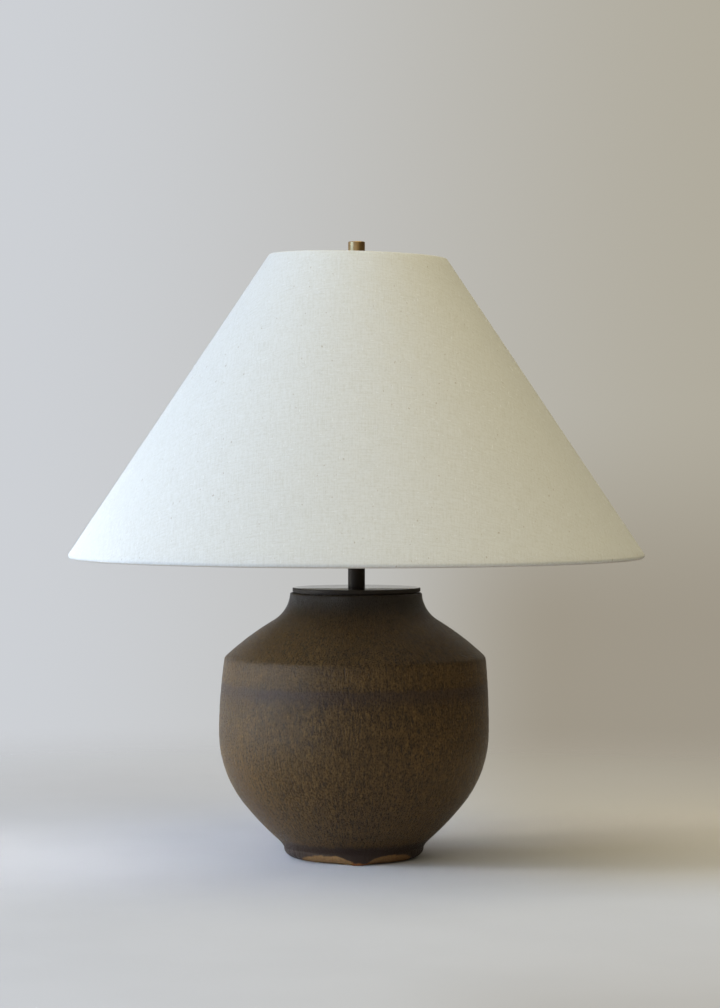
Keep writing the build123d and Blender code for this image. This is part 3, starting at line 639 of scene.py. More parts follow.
def new_tree(name, inputs):
    """Geometry Nodes tree with named inputs: the tree and its input and output nodes."""
    tree = bpy.data.node_groups.new(name, "GeometryNodeTree")
    tree.interface.new_socket("Geometry", in_out="INPUT", socket_type="NodeSocketGeometry")
    for label, kind in inputs.items():
        tree.interface.new_socket(label, in_out="INPUT", socket_type=kind)
    tree.interface.new_socket("Geometry", in_out="OUTPUT", socket_type="NodeSocketGeometry")
    return tree, tree.nodes.new("NodeGroupInput").outputs, tree.nodes.new("NodeGroupOutput").inputs


def end_tree(tree, geometry, material, output):
    """Ends a tree in Realize Instances and Set Material."""
    real = node(tree, "GeometryNodeRealizeInstances", {"Geometry": geometry}).outputs["Geometry"]
    painted = node(tree, "GeometryNodeSetMaterial", {"Geometry": real, "Material": material})
    tree.links.new(painted.outputs["Geometry"], output["Geometry"])


def turning_tree():
    """Tree that turns a half section about the lamp's axis, with ridges for a thread or a knurl."""
    merging = 1e-7
    tree, given, output = new_tree("turned_piece", {
        "Segments": "NodeSocketInt", "Start Angle": "NodeSocketFloat", "Ridge Depth": "NodeSocketFloat",
        "Ridges Round": "NodeSocketFloat", "Ridges Along": "NodeSocketFloat",
        "Ridge Bottom": "NodeSocketFloat", "Ridge Top": "NodeSocketFloat", "Ridge Fade": "NodeSocketFloat",
        "Finish": "NodeSocketMaterial"})
    section = given["Geometry"]
    size = node(tree, "GeometryNodeAttributeDomainSize", {"Geometry": section}, component="MESH").outputs
    rows = plus(tree, size["Edge Count"], 1.0)
    columns = plus(tree, given["Segments"], 1.0)
    grid = node(tree, "GeometryNodeMeshGrid", {"Vertices X": columns, "Vertices Y": rows}).outputs
    share = parts_of(tree, grid["UV Map"])
    row = math_of(tree, "ROUND", times(tree, share["Y"], size["Edge Count"]))
    row = math_of(tree, "FLOORED_MODULO", row, size["Point Count"])
    place = node(tree, "GeometryNodeInputPosition").outputs[0]
    corner = node(tree, "GeometryNodeSampleIndex", {"Geometry": section, "Value": place, "Index": row},
                  data_type="FLOAT_VECTOR", domain="POINT").outputs[0]
    parts = parts_of(tree, corner)
    turn = scaled(tree, share["X"], FULL_TURN, given["Start Angle"])
    along = times(tree, times(tree, parts["Z"], given["Ridges Along"]), FULL_TURN)
    phase = math_of(tree, "SUBTRACT", along, times(tree, turn, given["Ridges Round"]))
    wave = scaled(tree, math_of(tree, "COSINE", phase), factor=0.5, offset=-0.5)
    start = plus(tree, given["Ridge Bottom"], given["Ridge Fade"])
    stop = math_of(tree, "SUBTRACT", given["Ridge Top"], given["Ridge Fade"])
    within = times(tree, between(tree, parts["Z"], given["Ridge Bottom"], start),
                   between(tree, parts["Z"], given["Ridge Top"], stop))
    cut = times(tree, times(tree, wave, given["Ridge Depth"]), within)
    radius = plus(tree, parts["X"], cut)
    spoke = node(tree, "ShaderNodeCombineXYZ", {"X": radius, "Z": parts["Z"]}).outputs[0]
    turned = node(tree, "ShaderNodeVectorRotate", {"Vector": spoke, "Angle": turn},
                  rotation_type="Z_AXIS").outputs[0]
    mesh = node(tree, "GeometryNodeStoreNamedAttribute",
                {"Geometry": grid["Mesh"], "Name": "turn", "Value": grid["UV Map"]},
                data_type="FLOAT2", domain="CORNER").outputs["Geometry"]
    mesh = node(tree, "GeometryNodeSetPosition", {"Geometry": mesh, "Position": turned}).outputs["Geometry"]
    merged = node(tree, "GeometryNodeMergeByDistance", {"Geometry": mesh, "Distance": merging})
    end_tree(tree, merged.outputs["Geometry"], given["Finish"], output)
    return tree


def shared_tree(name, maker):
    """Tree by that name, made the first time it is asked for."""
    return bpy.data.node_groups.get(name) or maker()


def settle(piece):
    """Turns a piece's modifiers into a plain mesh."""
    graph = bpy.context.evaluated_depsgraph_get()
    mesh = bpy.data.meshes.new_from_object(piece.evaluated_get(graph), preserve_all_data_layers=True,
                                           depsgraph=graph)
    piece.modifiers.clear()
    raw = piece.data
    piece.data = mesh
    mesh.name = piece.name
    bpy.data.meshes.remove(raw)
    return piece


def new_piece(name, vertices, edges=(), faces=()):
    """Object with a new mesh, linked to the scene."""
    mesh = bpy.data.meshes.new(name)
    mesh.from_pydata([tuple(v) for v in vertices], list(edges), list(faces))
    piece = bpy.data.objects.new(name, mesh)
    bpy.context.scene.collection.objects.link(piece)
    return piece


def run_tree(piece, tree, **inputs):
    """Runs a tree on a piece, with inputs named in lower case, and settles the result."""
    modifier = piece.modifiers.new(tree.name, "NODES")
    modifier.node_group = tree
    for key, value in inputs.items():
        modifier[socket_id(tree, key.replace("_", " ").title())] = value
    return settle(piece)


def smooth(piece, sharp_angle=35.0):
    """Smooth shading with sharp creases."""
    piece.data.shade_smooth()
    piece.data.set_sharp_from_angle(angle=math.radians(sharp_angle))
    return piece


def turned(name, outline, material, closed=True, segments=96, start=0.0, ridges=None):
    """Piece turned from its half section, given upwards along its outside."""
    total = len(outline)
    edges = [(i, (i + 1) % total) for i in range(total if closed else total - 1)]
    piece = new_piece(name, [(radius, 0.0, height) for radius, height in outline], edges)
    tree = shared_tree("turned_piece", turning_tree)
    cut = {"ridge_depth": 0.0, "ridges_round": 0.0, "ridges_along": 0.0, "ridge_bottom": 0.0,
           "ridge_top": 1.0, "ridge_fade": 0.001}
    cut.update(ridges or {})
    return smooth(run_tree(piece, tree, segments=segments, start_angle=start, finish=material, **cut))


def stand_for(piece, node_name):
    """Puts a finished piece in the place of a CAD node, on its body, and hides the node."""
    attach(piece, BODY_OF[node_name])
    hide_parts(node_name)


def dress(material, *node_names):
    """Gives carried CAD nodes a procedural material."""
    for node_name in node_names:
        mesh = frame["nodes"][node_name].data
        mesh.materials.clear()
        mesh.materials.append(material)


def cut_away(piece, cutter):
    """Cuts a closed shape out of a piece and removes the cutter."""
    cut = piece.modifiers.new(cutter.name, "BOOLEAN")
    cut.operation, cut.solver, cut.object = "DIFFERENCE", "EXACT", cutter
    settle(piece)
    bpy.data.objects.remove(cutter)


def coordinates(mesh):
    """Vertex places of a mesh as an array."""
    places = np.empty(len(mesh.vertices) * 3, np.float64)
    mesh.vertices.foreach_get("co", places)
    return places.reshape(-1, 3)


def set_coordinates(mesh, places):
    """Writes vertex places back to a mesh."""
    mesh.vertices.foreach_set("co", places.astype(np.float32).ravel())
    mesh.update()


def keep_values(mesh, name, values):
    """Keeps a value or a vector for each vertex of a mesh under a name."""
    kind, key = ("FLOAT", "value") if values.ndim == 1 else ("FLOAT_VECTOR", "vector")
    layer = mesh.attributes.new(name, kind, "POINT")
    layer.data.foreach_set(key, values.astype(np.float32).ravel())


def polar(places):
    """Distances from the lamp's axis and angles about it."""
    return np.hypot(places[:, 0], places[:, 1]), np.arctan2(places[:, 1], places[:, 0])


def set_radius(places, radius, new_radius):
    """Moves places in or out from one distance to the axis to another."""
    scale = np.divide(new_radius, radius, out=np.ones_like(radius), where=radius > NONE_BELOW)
    places[:, :2] *= scale[:, None]


def pot_profile(pot):
    """Outside of the pot from the foot's seam to the rim's rounding, softened by the glaze."""
    belly_steps, flank_steps, neck_steps, slope_steps = 24, 16, 16, 12
    row_height, seam_share = 0.0017, 0.8
    top = high("pot_body")
    neck_base = (pot.neck_radius, top - pot.neck_height)
    shoulder = (pot.shoulder_radius, neck_base[1] - pot.shoulder_drop)
    belly = (reach("pot_body"), shoulder[1] - pot.belly_drop)
    knuckle = (pot.knuckle_radius, pot.knuckle_height)
    foot = (pot.foot_radius, pot.foot_height)
    neck_top = (pot.rim_radius, top - pot.rim_band)
    lower = arc_from(belly, (0.0, -1.0), knuckle, belly_steps)
    run_in = np.subtract(lower[-1], lower[-2])
    flank = arc_from(knuckle, run_in, foot, flank_steps)
    upper = arc_from(belly, (0.0, 1.0), shoulder, belly_steps)
    flare = (math.sin(pot.neck_flare), -math.cos(pot.neck_flare))
    neck = arc_from(neck_top, flare, neck_base, neck_steps)
    slope = arc_over(shoulder, neck_base, pot.shoulder_crown, slope_steps)
    wall_foot = (pot.foot_radius, pot.foot_height * seam_share)
    outside = [wall_foot, *flank[::-1], *lower[::-1][1:], belly, *upper, *slope, *neck[::-1][1:], neck_top,
               (pot.rim_radius, top - pot.rim_round)]
    crisp, soft = (np.array(softened(outside, row_height, softness))
                   for softness in (pot.edge_softness, pot.foot_softness))
    crisp_above, blend_height = 3 * pot.foot_height, 1.5 * pot.foot_height
    share = np.clip((crisp_above - crisp[:, 1:]) / blend_height, 0.0, 1.0)
    return [tuple(point) for point in crisp + (soft - crisp) * share]


def pot_section(pot):
    """Whole half section of the pot, from the middle of the foot up the outside and down the inside."""
    foot_rows, rim_steps, inside_every = 24, 5, 6
    hollow_edge, contact_edge = 0.001, 0.0008
    neck_share, cove_share = 0.6, 0.4
    foot_shares = (0.3, 0.6, 0.85, 0.97)
    top, hollow = high("pot_body"), pot.hollow_radius
    outside = pot_profile(pot)
    wall_top = outside[0][1]
    under = [(0.0, pot.hollow_depth), (hollow - hollow_edge, pot.hollow_depth),
             (hollow, pot.hollow_depth - hollow_edge), (hollow, contact_edge), (hollow + contact_edge, 0.0)]
    under += [(hollow + (pot.foot_radius - hollow) * share, 0.0) for share in foot_shares]
    wall = [(pot.foot_radius, wall_top * step / foot_rows) for step in range(foot_rows)]
    bore, edge = pot.rim_radius - pot.wall, pot.rim_round
    rim = arc_round((pot.rim_radius - edge, top - edge), edge, 0.0, QUARTER_TURN, rim_steps)[1:]
    rim += arc_round((bore + edge, top - edge), edge, QUARTER_TURN, QUARTER_TURN, rim_steps)
    inside_top, inside_bottom = top - pot.neck_height * neck_share, pot.floor + pot.wall
    inside = [(max(bore, radius - pot.wall), height) for radius, height in outside[::-inside_every]
              if inside_bottom < height < inside_top]
    lowest = inside[-1][0]
    floor = [(lowest - pot.wall, pot.floor + pot.wall * cove_share), (lowest - 2 * pot.wall, pot.floor),
             (0.0, pot.floor)]
    return under + wall + outside[:-1] + rim + inside + floor


def lobe_cut(pot, around):
    """Share of the bevel that is cut at angles round the foot, and the angle to the nearest lobe."""
    pitch = FULL_TURN / pot.lobes
    fold = np.abs((around + BACK - pot.lobe_turn + pitch / 2) % pitch - pitch / 2)
    return np.sqrt(np.clip((fold - pot.lobe_width) / pot.lobe_flank, 0.0, 1.0)), fold


def carve_foot(pot, places, wall_top):
    """Cuts the bevel between the lobes into the foot's wall and underside."""
    least_bevel, row_power = 0.0008, 1.8
    wall_margin, height_margin, hollow_margin = 1e-5, 1e-6, 1e-4
    radius, around = polar(places)
    share, _ = lobe_cut(pot, around)
    crease = np.maximum(pot.bevel_rise * share, least_bevel)
    on_wall = (np.abs(radius - pot.foot_radius) < wall_margin) & (places[:, 2] < wall_top - height_margin)
    climb = 2 * places[:, 2] / wall_top
    lower = crease * np.minimum(climb, 1.0) ** row_power
    upper = (wall_top - crease) * np.maximum(climb - 1.0, 0.0)
    height = np.where(on_wall, lower + upper, places[:, 2])
    depth = 1.0 - np.sqrt(1.0 - np.clip(1.0 - height / crease, 0.0, 1.0) ** 2)
    inset = pot.bevel_inset * share
    under = (places[:, 2] < height_margin) & (radius > pot.hollow_radius + hollow_margin) & ~on_wall
    squeeze = (pot.foot_radius - inset - pot.hollow_radius) / (pot.foot_radius - pot.hollow_radius)
    under_radius = pot.hollow_radius + (radius - pot.hollow_radius) * squeeze
    new_radius = np.where(on_wall, pot.foot_radius - inset * depth, np.where(under, under_radius, radius))
    set_radius(places, radius, new_radius)
    places[:, 2] = height


def throw_marks(pot, places):
    """Adds the faint ridges of the wheel and the lean of a hand-thrown pot."""
    fade_height, slow_share, slow_pace, slow_turns = 0.02, 0.5, 0.37, 2
    foot_clear, lean_start, lean_end = 1.5, 0.45, 0.2
    top, height = high("pot_body"), places[:, 2]
    radius, around = polar(places)
    outside = radius > pot.foot_radius - pot.wall
    start, stop = pot.foot_height * foot_clear, top - pot.neck_height
    fade_in, fade_out = (np.clip(run / fade_height, 0, 1) for run in (height - start, stop - height))
    climb = FULL_TURN * height / pot.throwing_pitch - around
    wave = np.sin(climb) + slow_share * np.sin(slow_pace * climb + slow_turns * around)
    set_radius(places, radius, radius + pot.throwing_ridge * (fade_in * fade_out * outside) * wave)
    share = np.clip((height - lean_start * top) / ((1.0 - lean_start) * top), 0.0, 1.0)
    places[:, 0] -= pot.lean * (1.0 - (1.0 - lean_end) * share * share * (3.0 - 2.0 * share))


def inlet_matrix():
    """Place of the cord inlet on the pot's flank, with +Z out of the wall."""
    mount = next(m for m in frame["record"]["mounts"] if m["name"] == "cord_inlet")
    out = Vector(mount["axis"]).normalized()
    across = Vector((1.0, 0.0, 0.0))
    up = out.cross(across)
    turn = Matrix((across, up, out)).transposed().to_4x4()
    return Matrix.Translation(Vector(mount["pos_m"])) @ turn


class LAMP_OT_pot(bpy.types.Operator):
    """Makes the glazed pot with its lobed foot"""

    bl_idname = "lamp.pot"
    bl_label = "Pot"

    def execute(self, context):
        pot = context.scene.lamp_pot
        material = glaze(pot)
        section = pot_section(pot)
        profile = pot_profile(pot)
        piece = turned("pot_glazed", section, material, closed=False, segments=288)
        places = coordinates(piece.data)
        carve_foot(pot, places, profile[0][1])
        throw_marks(pot, places)
        set_coordinates(piece.data, places)
        self.drill(pot, piece, material)
        self.mark_glaze(pot, piece.data, profile)
        smooth(piece, sharp_angle=50.0)
        stand_for(piece, "pot_body")
        return {"FINISHED"}

    def drill(self, pot, piece, material):
        """Cuts the hole for the cord inlet through the wall."""
        depth = 2 * pot.wall
        outline = [(0.0, -depth), (pot.hole_radius, -depth), (pot.hole_radius, depth), (0.0, depth)]
        cutter = turned("hole_cutter", outline, material, closed=False, segments=48)
        cutter.data.transform(inlet_matrix())
        cut_away(piece, cutter)

    def mark_glaze(self, pot, mesh, profile):
        """Keeps where the glaze ran and where the clay is bare."""
        places = coordinates(mesh)
        _, around = polar(places)
        steps = np.hypot(*np.diff(np.array(profile), axis=0).T)
        heights = np.array([height for _, height in profile])
        shoulder = high("pot_body") - pot.neck_height - pot.shoulder_drop
        crease_margin, pace_above, pace_below = 0.002, 1.5, 1.0
        pace = np.where(heights[1:] > shoulder - crease_margin, pace_above, pace_below)
        run = np.concatenate(([0.0], np.cumsum(steps * pace)))
        belly = reach("pot_body")
        flow = np.column_stack((belly * np.cos(around), belly * np.sin(around),
                                np.interp(places[:, 2], heights, run)))
        share, fold = lobe_cut(pot, around)
        from_lobe = np.degrees(fold)
        waves = ((0.0002, 23, 0.0), (0.00015, 57, 1.0))
        ragged = sum(size * np.sin(turns * around + phase) for size, turns, phase in waves)
        lens_flat, lens_fade, side_end, side_fade = 29.0, 32.0, 0.88, 0.08
        lens = np.clip(1.0 - (np.maximum(from_lobe - lens_flat, 0.0) / lens_fade) ** 2, 0.0, 1.0)
        lens *= np.clip((side_end - np.abs(np.cos(around))) / side_fade, 0.0, 1.0)
        toast_end, toast_fade, toast_height = 8.0, 2.0, 0.0017
        toasted = np.clip((toast_end - from_lobe) / toast_fade, 0.0, 1.0)
        line = np.maximum(pot.bevel_rise * share * lens, (toast_height + ragged) * toasted)
        bare_margin, bare_fade = 0.0002, 0.0005
        bare = np.clip((line + bare_margin + ragged - places[:, 2]) / bare_fade, 0.0, 1.0)
        for name, values in (("glaze_flow", flow), ("bare_clay", bare), ("toasted_clay", toasted)):
            keep_values(mesh, name, values)


class LAMP_OT_cord_inlet(bpy.types.Operator):
    """Makes the rubber bush of the cord inlet"""

    bl_idname = "lamp.cord_inlet"
    bl_label = "Cord Inlet"

    def execute(self, context):
        fitting = context.scene.lamp_fittings
        bore = fitting.inlet_bore
        waist = bore + fitting.inlet_wall
        flange = waist + fitting.inlet_flange
        gap, barb, barb_height, tail = 0.0003, 0.0009, 0.003, 0.0106
        bevel_height, bevel_width = 0.0008, 0.0012
        soft, firm, crisp = 0.0006, 0.0004, 0.0003
        top = gap + fitting.inlet_flange_height
        outline = rounded((bore, top, soft), (bore, -tail, firm), (waist - barb, -tail, firm),
                          (waist + barb, -tail + barb_height, crisp), (waist, -tail + barb_height),
                          (waist, gap), (flange, gap, crisp), (flange, top - bevel_height, soft),
                          (flange - bevel_width, top, soft))
        rubber = moulded("black_rubber", fitting.rubber, roughness=0.72, grain_size=0.0004, relief=0.00004)
        piece = turned("cord_bush", outline, rubber, segments=64)
        piece.data.transform(inlet_matrix())
        stand_for(piece, "cord_grommet")
        return {"FINISHED"}


class LAMP_OT_cap_and_stem(bpy.types.Operator):
    """Makes the bronzed cap and stem"""

    bl_idname = "lamp.cap_and_stem"
    bl_label = "Cap and Stem"

    def execute(self, context):
        fitting = context.scene.lamp_fittings
        bronze = turned_metal("dark_bronze", fitting.bronze, fitting.bronze_worn, roughness=0.62,
                              brushing=0.000004, tarnish=0.25, polished=0.10)
        cap, top = reach("vase_cap"), high("vase_cap")
        rim, bottom = high("pot_body"), low("vase_cap")
        step, spigot = cap - fitting.cap_step, fitting.cap_spigot
        seat, inner = rim + fitting.cap_reveal, fitting.cap_spigot - fitting.spigot_wall
        edge = fitting.edge
        outline = rounded((fitting.pipe_hole, rim), (inner, rim), (inner, bottom, edge),
                          (spigot, bottom, edge), (spigot, rim), (step, rim), (step, seat), (cap, seat, edge),
                          (cap, top, 2 * edge), (fitting.pipe_hole, top))
        piece = turned("cap_disc", outline, bronze, segments=192)
        places = coordinates(piece.data)
        polish_margin = edge / 8
        polish = (places[:, 2] > top - polish_margin) & (polar(places)[0] < cap - edge)
        keep_values(piece.data, "polish", polish)
        stand_for(piece, "vase_cap")
        stem, foot, head = reach("stem"), low("stem"), high("stem")
        bore = stem - fitting.stem_wall
        tube = rounded((bore, foot), (stem, foot, edge / 2), (stem, head, edge), (bore, head, edge))
        piece = turned("stem_tube", tube, bronze)
        stand_for(piece, "stem")
        return {"FINISHED"}


class LAMP_OT_finial(bpy.types.Operator):
    """Makes the plain brass finial"""

    bl_idname = "lamp.finial"
    bl_label = "Finial"

    def execute(self, context):
        fitting = context.scene.lamp_fittings
        brass = turned_metal("aged_brass", fitting.brass, fitting.brass_dark, roughness=0.30,
                             brushing=0.00006, tarnish=0.7)
        radius, foot, head = reach("finial"), low("finial"), high("finial")
        bore, depth = fitting.finial_bore, fitting.finial_bore_depth
        outline = rounded((0.0, foot + depth), (bore, foot + depth), (bore, foot, fitting.edge),
                          (radius, foot, fitting.edge), (radius, head, fitting.finial_edge), (0.0, head))
        piece = turned("finial_brass", outline, brass, closed=False)
        stand_for(piece, "finial")
        return {"FINISHED"}


def slub_tree():
    """Tree that scatters slubs of yarn over the linen, along its threads."""
    tree, given, output = new_tree("linen_slubs", {
        "Density": "NodeSocketFloat", "Slub Length": "NodeSocketFloat", "Slub Width": "NodeSocketFloat",
        "Seed": "NodeSocketInt", "Finish": "NodeSocketMaterial"})
    upright_share, shortest, longest, flatness = 0.55, 0.35, 1.0, 0.7
    points = node(tree, "GeometryNodeDistributePointsOnFaces",
                  {"Mesh": given["Geometry"], "Density": given["Density"], "Seed": given["Seed"]}).outputs
    thread = node(tree, "GeometryNodeInputNamedAttribute", {"Name": "thread"}, data_type="FLOAT_VECTOR")
    standing = node(tree, "FunctionNodeAlignRotationToVector", {"Vector": points["Normal"]},
                    axis="Z").outputs[0]
    lying = node(tree, "FunctionNodeAlignRotationToVector",
                 {"Rotation": standing, "Vector": thread.outputs["Attribute"]},
                 axis="X", pivot_axis="Z").outputs[0]
    warp_or_weft = node(tree, "FunctionNodeRandomValue",
                        {"Probability": upright_share, "Seed": given["Seed"]}, data_type="BOOLEAN")
    picked = next(out for out in warp_or_weft.outputs if out.type == "BOOLEAN")
    quarter = node(tree, "ShaderNodeCombineXYZ", {"Z": times(tree, picked, QUARTER_TURN)}).outputs[0]
    aimed = node(tree, "FunctionNodeRotateRotation", {"Rotation": lying, "Rotate By": quarter},
                 rotation_space="LOCAL").outputs[0]
    least_input, most_input = 2, 3
    spread = node(tree, "FunctionNodeRandomValue",
                  {least_input: shortest, most_input: longest, "Seed": given["Seed"]}, data_type="FLOAT")
    share = next(out for out in spread.outputs if out.type == "VALUE" and out.enabled)
    run = times(tree, times(tree, share, share), given["Slub Length"])
    scale = node(tree, "ShaderNodeCombineXYZ", {"X": run, "Y": given["Slub Width"],
                                                "Z": times(tree, given["Slub Width"], flatness)})
    spindle = node(tree, "GeometryNodeMeshUVSphere", {"Segments": 6, "Rings": 5, "Radius": 0.5})
    slubs = node(tree, "GeometryNodeInstanceOnPoints",
                 {"Points": points["Points"], "Instance": spindle.outputs["Mesh"], "Rotation": aimed,
                  "Scale": scale.outputs[0]})
    end_tree(tree, slubs.outputs["Instances"], given["Finish"], output)
    return tree


def wire_ring(node_name):
    """Wire radius and section centre of a ring of the shade."""
    wire = (high(node_name) - low(node_name)) / 2
    return wire, (reach(node_name) - wire, low(node_name) + wire)


def shade_sizes(shade):
    """Ring centres and slope of the shade, worked out from the frame."""
    roll = shade.hem_radius
    _, middle = wire_ring("shade_top_ring")
    top = (middle[0], high("shade_cover") - roll)
    bottom = (reach("shade_cover") - roll, low("shade_cover") + roll)
    slope = math.atan2(bottom[0] - top[0], top[1] - bottom[1])
    return top, bottom, slope


def slope_point(ring, slope, offset):
    """Point square to the slope from a ring's centre."""
    return np.array((ring[0] + offset * math.cos(slope), ring[1] + offset * math.sin(slope)))


def shade_outline(shade):
    """Closed section of the linen with rolled edges, and each point's distance from the cone's apex."""
    hem_steps, slope_steps = 14, 36
    top, bottom, slope = shade_sizes(shade)
    outer, inner = shade.hem_radius, shade.hem_radius - shade.cover
    apex_to_top, apex_to_bottom = (slope_point(ring, slope, outer)[0] / math.sin(slope)
                                   for ring in (top, bottom))
    roll = np.array(evenly(0.0, outer * shade.hem_wrap, hem_steps))[1:]
    runs = [*(apex_to_bottom + roll)[::-1], *evenly(apex_to_bottom, apex_to_top, slope_steps),
            *(apex_to_top - roll)]
    outside, inside = (
        [*arc_round(bottom, radius, slope, -shade.hem_wrap, hem_steps)[:0:-1],
         *evenly(slope_point(bottom, slope, radius), slope_point(top, slope, radius), slope_steps),
         *arc_round(top, radius, slope, shade.hem_wrap, hem_steps)[1:]] for radius in (outer, inner))
    return outside + inside[::-1], runs + runs[::-1], slope


def flat_point(run, share, slope):
    """Place on the flat cut of a point at a distance from the apex and a share of the way round."""
    fan = (share - 0.5) * FULL_TURN * math.sin(slope)
    return run * np.sin(fan), -run * np.cos(fan)


def tilt_top(shade, mesh):
    """Slides the top edge a little down its slope on the right, and up on the left."""
    places = coordinates(mesh)
    bottom, top = low("shade_cover"), high("shade_cover")
    slope = shade_sizes(shade)[2]
    share = np.clip((places[:, 2] - bottom) / (top - bottom), 0.0, 1.0)
    drop = shade.top_tilt * share ** 2 * places[:, 0] / reach("shade_top_ring")
    spread = 1.0 + drop * math.tan(slope) / polar(places)[0]
    places[:, :2] *= spread[:, None]
    places[:, 2] -= drop
    set_coordinates(mesh, places)


class LAMP_OT_shade(bpy.types.Operator):
    """Makes the linen cover of the shade with its slubs and seam"""

    bl_idname = "lamp.shade"
    bl_label = "Linen Shade"

    def execute(self, context):
        shade = context.scene.lamp_shade
        outline, runs, slope = shade_outline(shade)
        pale_turn = 0.8
        cloth = linen(shade, max(runs) - shade.hem_radius * (shade.hem_wrap - pale_turn))
        cover = turned("shade_linen", outline, cloth, segments=shade.segments, start=BACK)
        self.lay_out(cover.data, np.array(runs), slope)
        tilt_top(shade, cover.data)
        slubs = self.make_slubs(shade, slope)
        seam = self.make_seam(shade, cloth, slope)
        stand_for(cover, "shade_cover")
        for trim in (slubs, seam):
            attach(trim, BODY_OF["shade_cover"])
        return {"FINISHED"}

    def lay_out(self, mesh, runs, slope):
        """Gives the cover the UV map of its flat cut."""
        turn = np.empty(len(mesh.loops) * 2, np.float32)
        mesh.attributes["turn"].data.foreach_get("vector", turn)
        share, row = turn.reshape(-1, 2).T
        index = np.round(row * len(runs)).astype(int) % len(runs)
        flat = np.column_stack(flat_point(runs[index], share, slope))
        layer = mesh.uv_layers.new(name="flat_cut")
        layer.data.foreach_set("uv", flat.astype(np.float32).ravel())
        mesh.attributes.remove(mesh.attributes["turn"])

    def flat_size(self, runs, slope):
        """Width, length and area of the flat cut, a fan of cloth."""
        inner, outer = min(runs), max(runs)
        half_fan = math.pi * math.sin(slope)
        area = half_fan * (outer ** 2 - inner ** 2)
        return 2 * outer, outer * (1 - math.cos(half_fan)), area

    def slope_strip(self, shade):
        """Outer edge of the slope between the two rolled hems, from the bottom up."""
        top, bottom, slope = shade_sizes(shade)
        return slope_point(bottom, slope, shade.hem_radius), slope_point(top, slope, shade.hem_radius)

    def make_slubs(self, shade, slope):
        """Thick stretches of yarn that stand on the linen."""
        foot, head = self.slope_strip(shade)
        steps, segments, seed = 24, 144, 11
        material = yarn(shade)
        piece = turned("shade_slubs", evenly(foot, head, steps), material, closed=False, segments=segments,
                       start=BACK)
        places = coordinates(piece.data)
        radius, angles = polar(places)
        run = radius / math.sin(slope)
        fan = ((angles - BACK) % FULL_TURN / FULL_TURN - 0.5) * FULL_TURN * math.sin(slope)
        apex = np.array((0.0, 0.0, places[:, 2].max() + run.min() * math.cos(slope)))
        around = np.column_stack((-places[:, 1], places[:, 0], np.zeros(len(places))))
        around, down = (way / np.linalg.norm(way, axis=1)[:, None] for way in (around, places - apex))
        keep_values(piece.data, "thread", around * np.cos(fan)[:, None] + down * np.sin(fan)[:, None])
        tilt_top(shade, piece.data)
        run_tree(piece, shared_tree("linen_slubs", slub_tree), density=shade.slubs,
                 slub_length=shade.slub_length, slub_width=shade.slub_width, seed=seed, finish=material)
        return smooth(piece, sharp_angle=80.0)

    def make_seam(self, shade, cloth, slope):
        """Lapped seam down the back."""
        foot, head = self.slope_strip(shade)
        steps, lift, edge_lift, edge_start = 24, 0.00045, 0.00002, 0.94
        offsets = [(-1.0, edge_lift), (-edge_start, lift), (edge_start, lift), (1.0, edge_lift)]
        across = len(offsets)
        places, flats = [], []
        for radius, height in evenly(foot, head, steps):
            for side, rise in offsets:
                turn = side * shade.seam_width / 2 / radius
                out, up = radius + rise * math.cos(slope), height + rise * math.sin(slope)
                places.append((-out * math.sin(turn), out * math.cos(turn), up))
                flats.append((side * shade.seam_width / 2, -radius / math.sin(slope)))
        rows = range(0, steps * across, across)
        sides = [(i, (i + 1) % across) for i in range(across)]
        faces = [(row + across + i, row + across + j, row + j, row + i) for row in rows for i, j in sides]
        last = steps * across
        ends = [tuple(range(across)), tuple(range(last + across - 1, last - 1, -1))]
        piece = new_piece("shade_seam", places, faces=faces + ends)
        layer = piece.data.uv_layers.new(name="flat_cut")
        corners = [loop.vertex_index for loop in piece.data.loops]
        layer.data.foreach_set("uv", np.array([flats[i] for i in corners], np.float32).ravel())
        piece.data.materials.append(cloth)
        tilt_top(shade, piece.data)
        return smooth(piece)


class LAMP_OT_shade_frame(bpy.types.Operator):
    """Finishes the liner, wire rings, spider and harp inside the shade"""

    bl_idname = "lamp.shade_frame"
    bl_label = "Shade Frame"

    def execute(self, context):
        fitting = context.scene.lamp_fittings
        liner = moulded("shade_liner_white", fitting.liner, roughness=0.55, grain_size=0.0012, relief=0.00002,
                        mottle=0.95)
        enamel = moulded("ring_enamel", fitting.enamel, roughness=0.35, grain_size=0.002, relief=0.00003)
        nickel = plated_metal("harp_nickel", fitting.nickel, roughness=0.28)
        dress(liner, "shade_liner")
        dress(enamel, "shade_bottom_ring")
        dress(nickel, "spider_arms", "fitter_washer", "harp_bow", "harp_saddle", "harp_stud")
        self.make_top_ring(context.scene.lamp_shade, enamel)
        return {"FINISHED"}

    def make_top_ring(self, shade, enamel):
        """Wire ring that follows the tilt of the shade's top."""
        steps = 16
        wire, middle = wire_ring("shade_top_ring")
        ring = turned("shade_top_wire", arc_round(middle, wire, 0.0, FULL_TURN, steps)[:-1], enamel)
        tilt_top(shade, ring.data)
        stand_for(smooth(ring), "shade_top_ring")


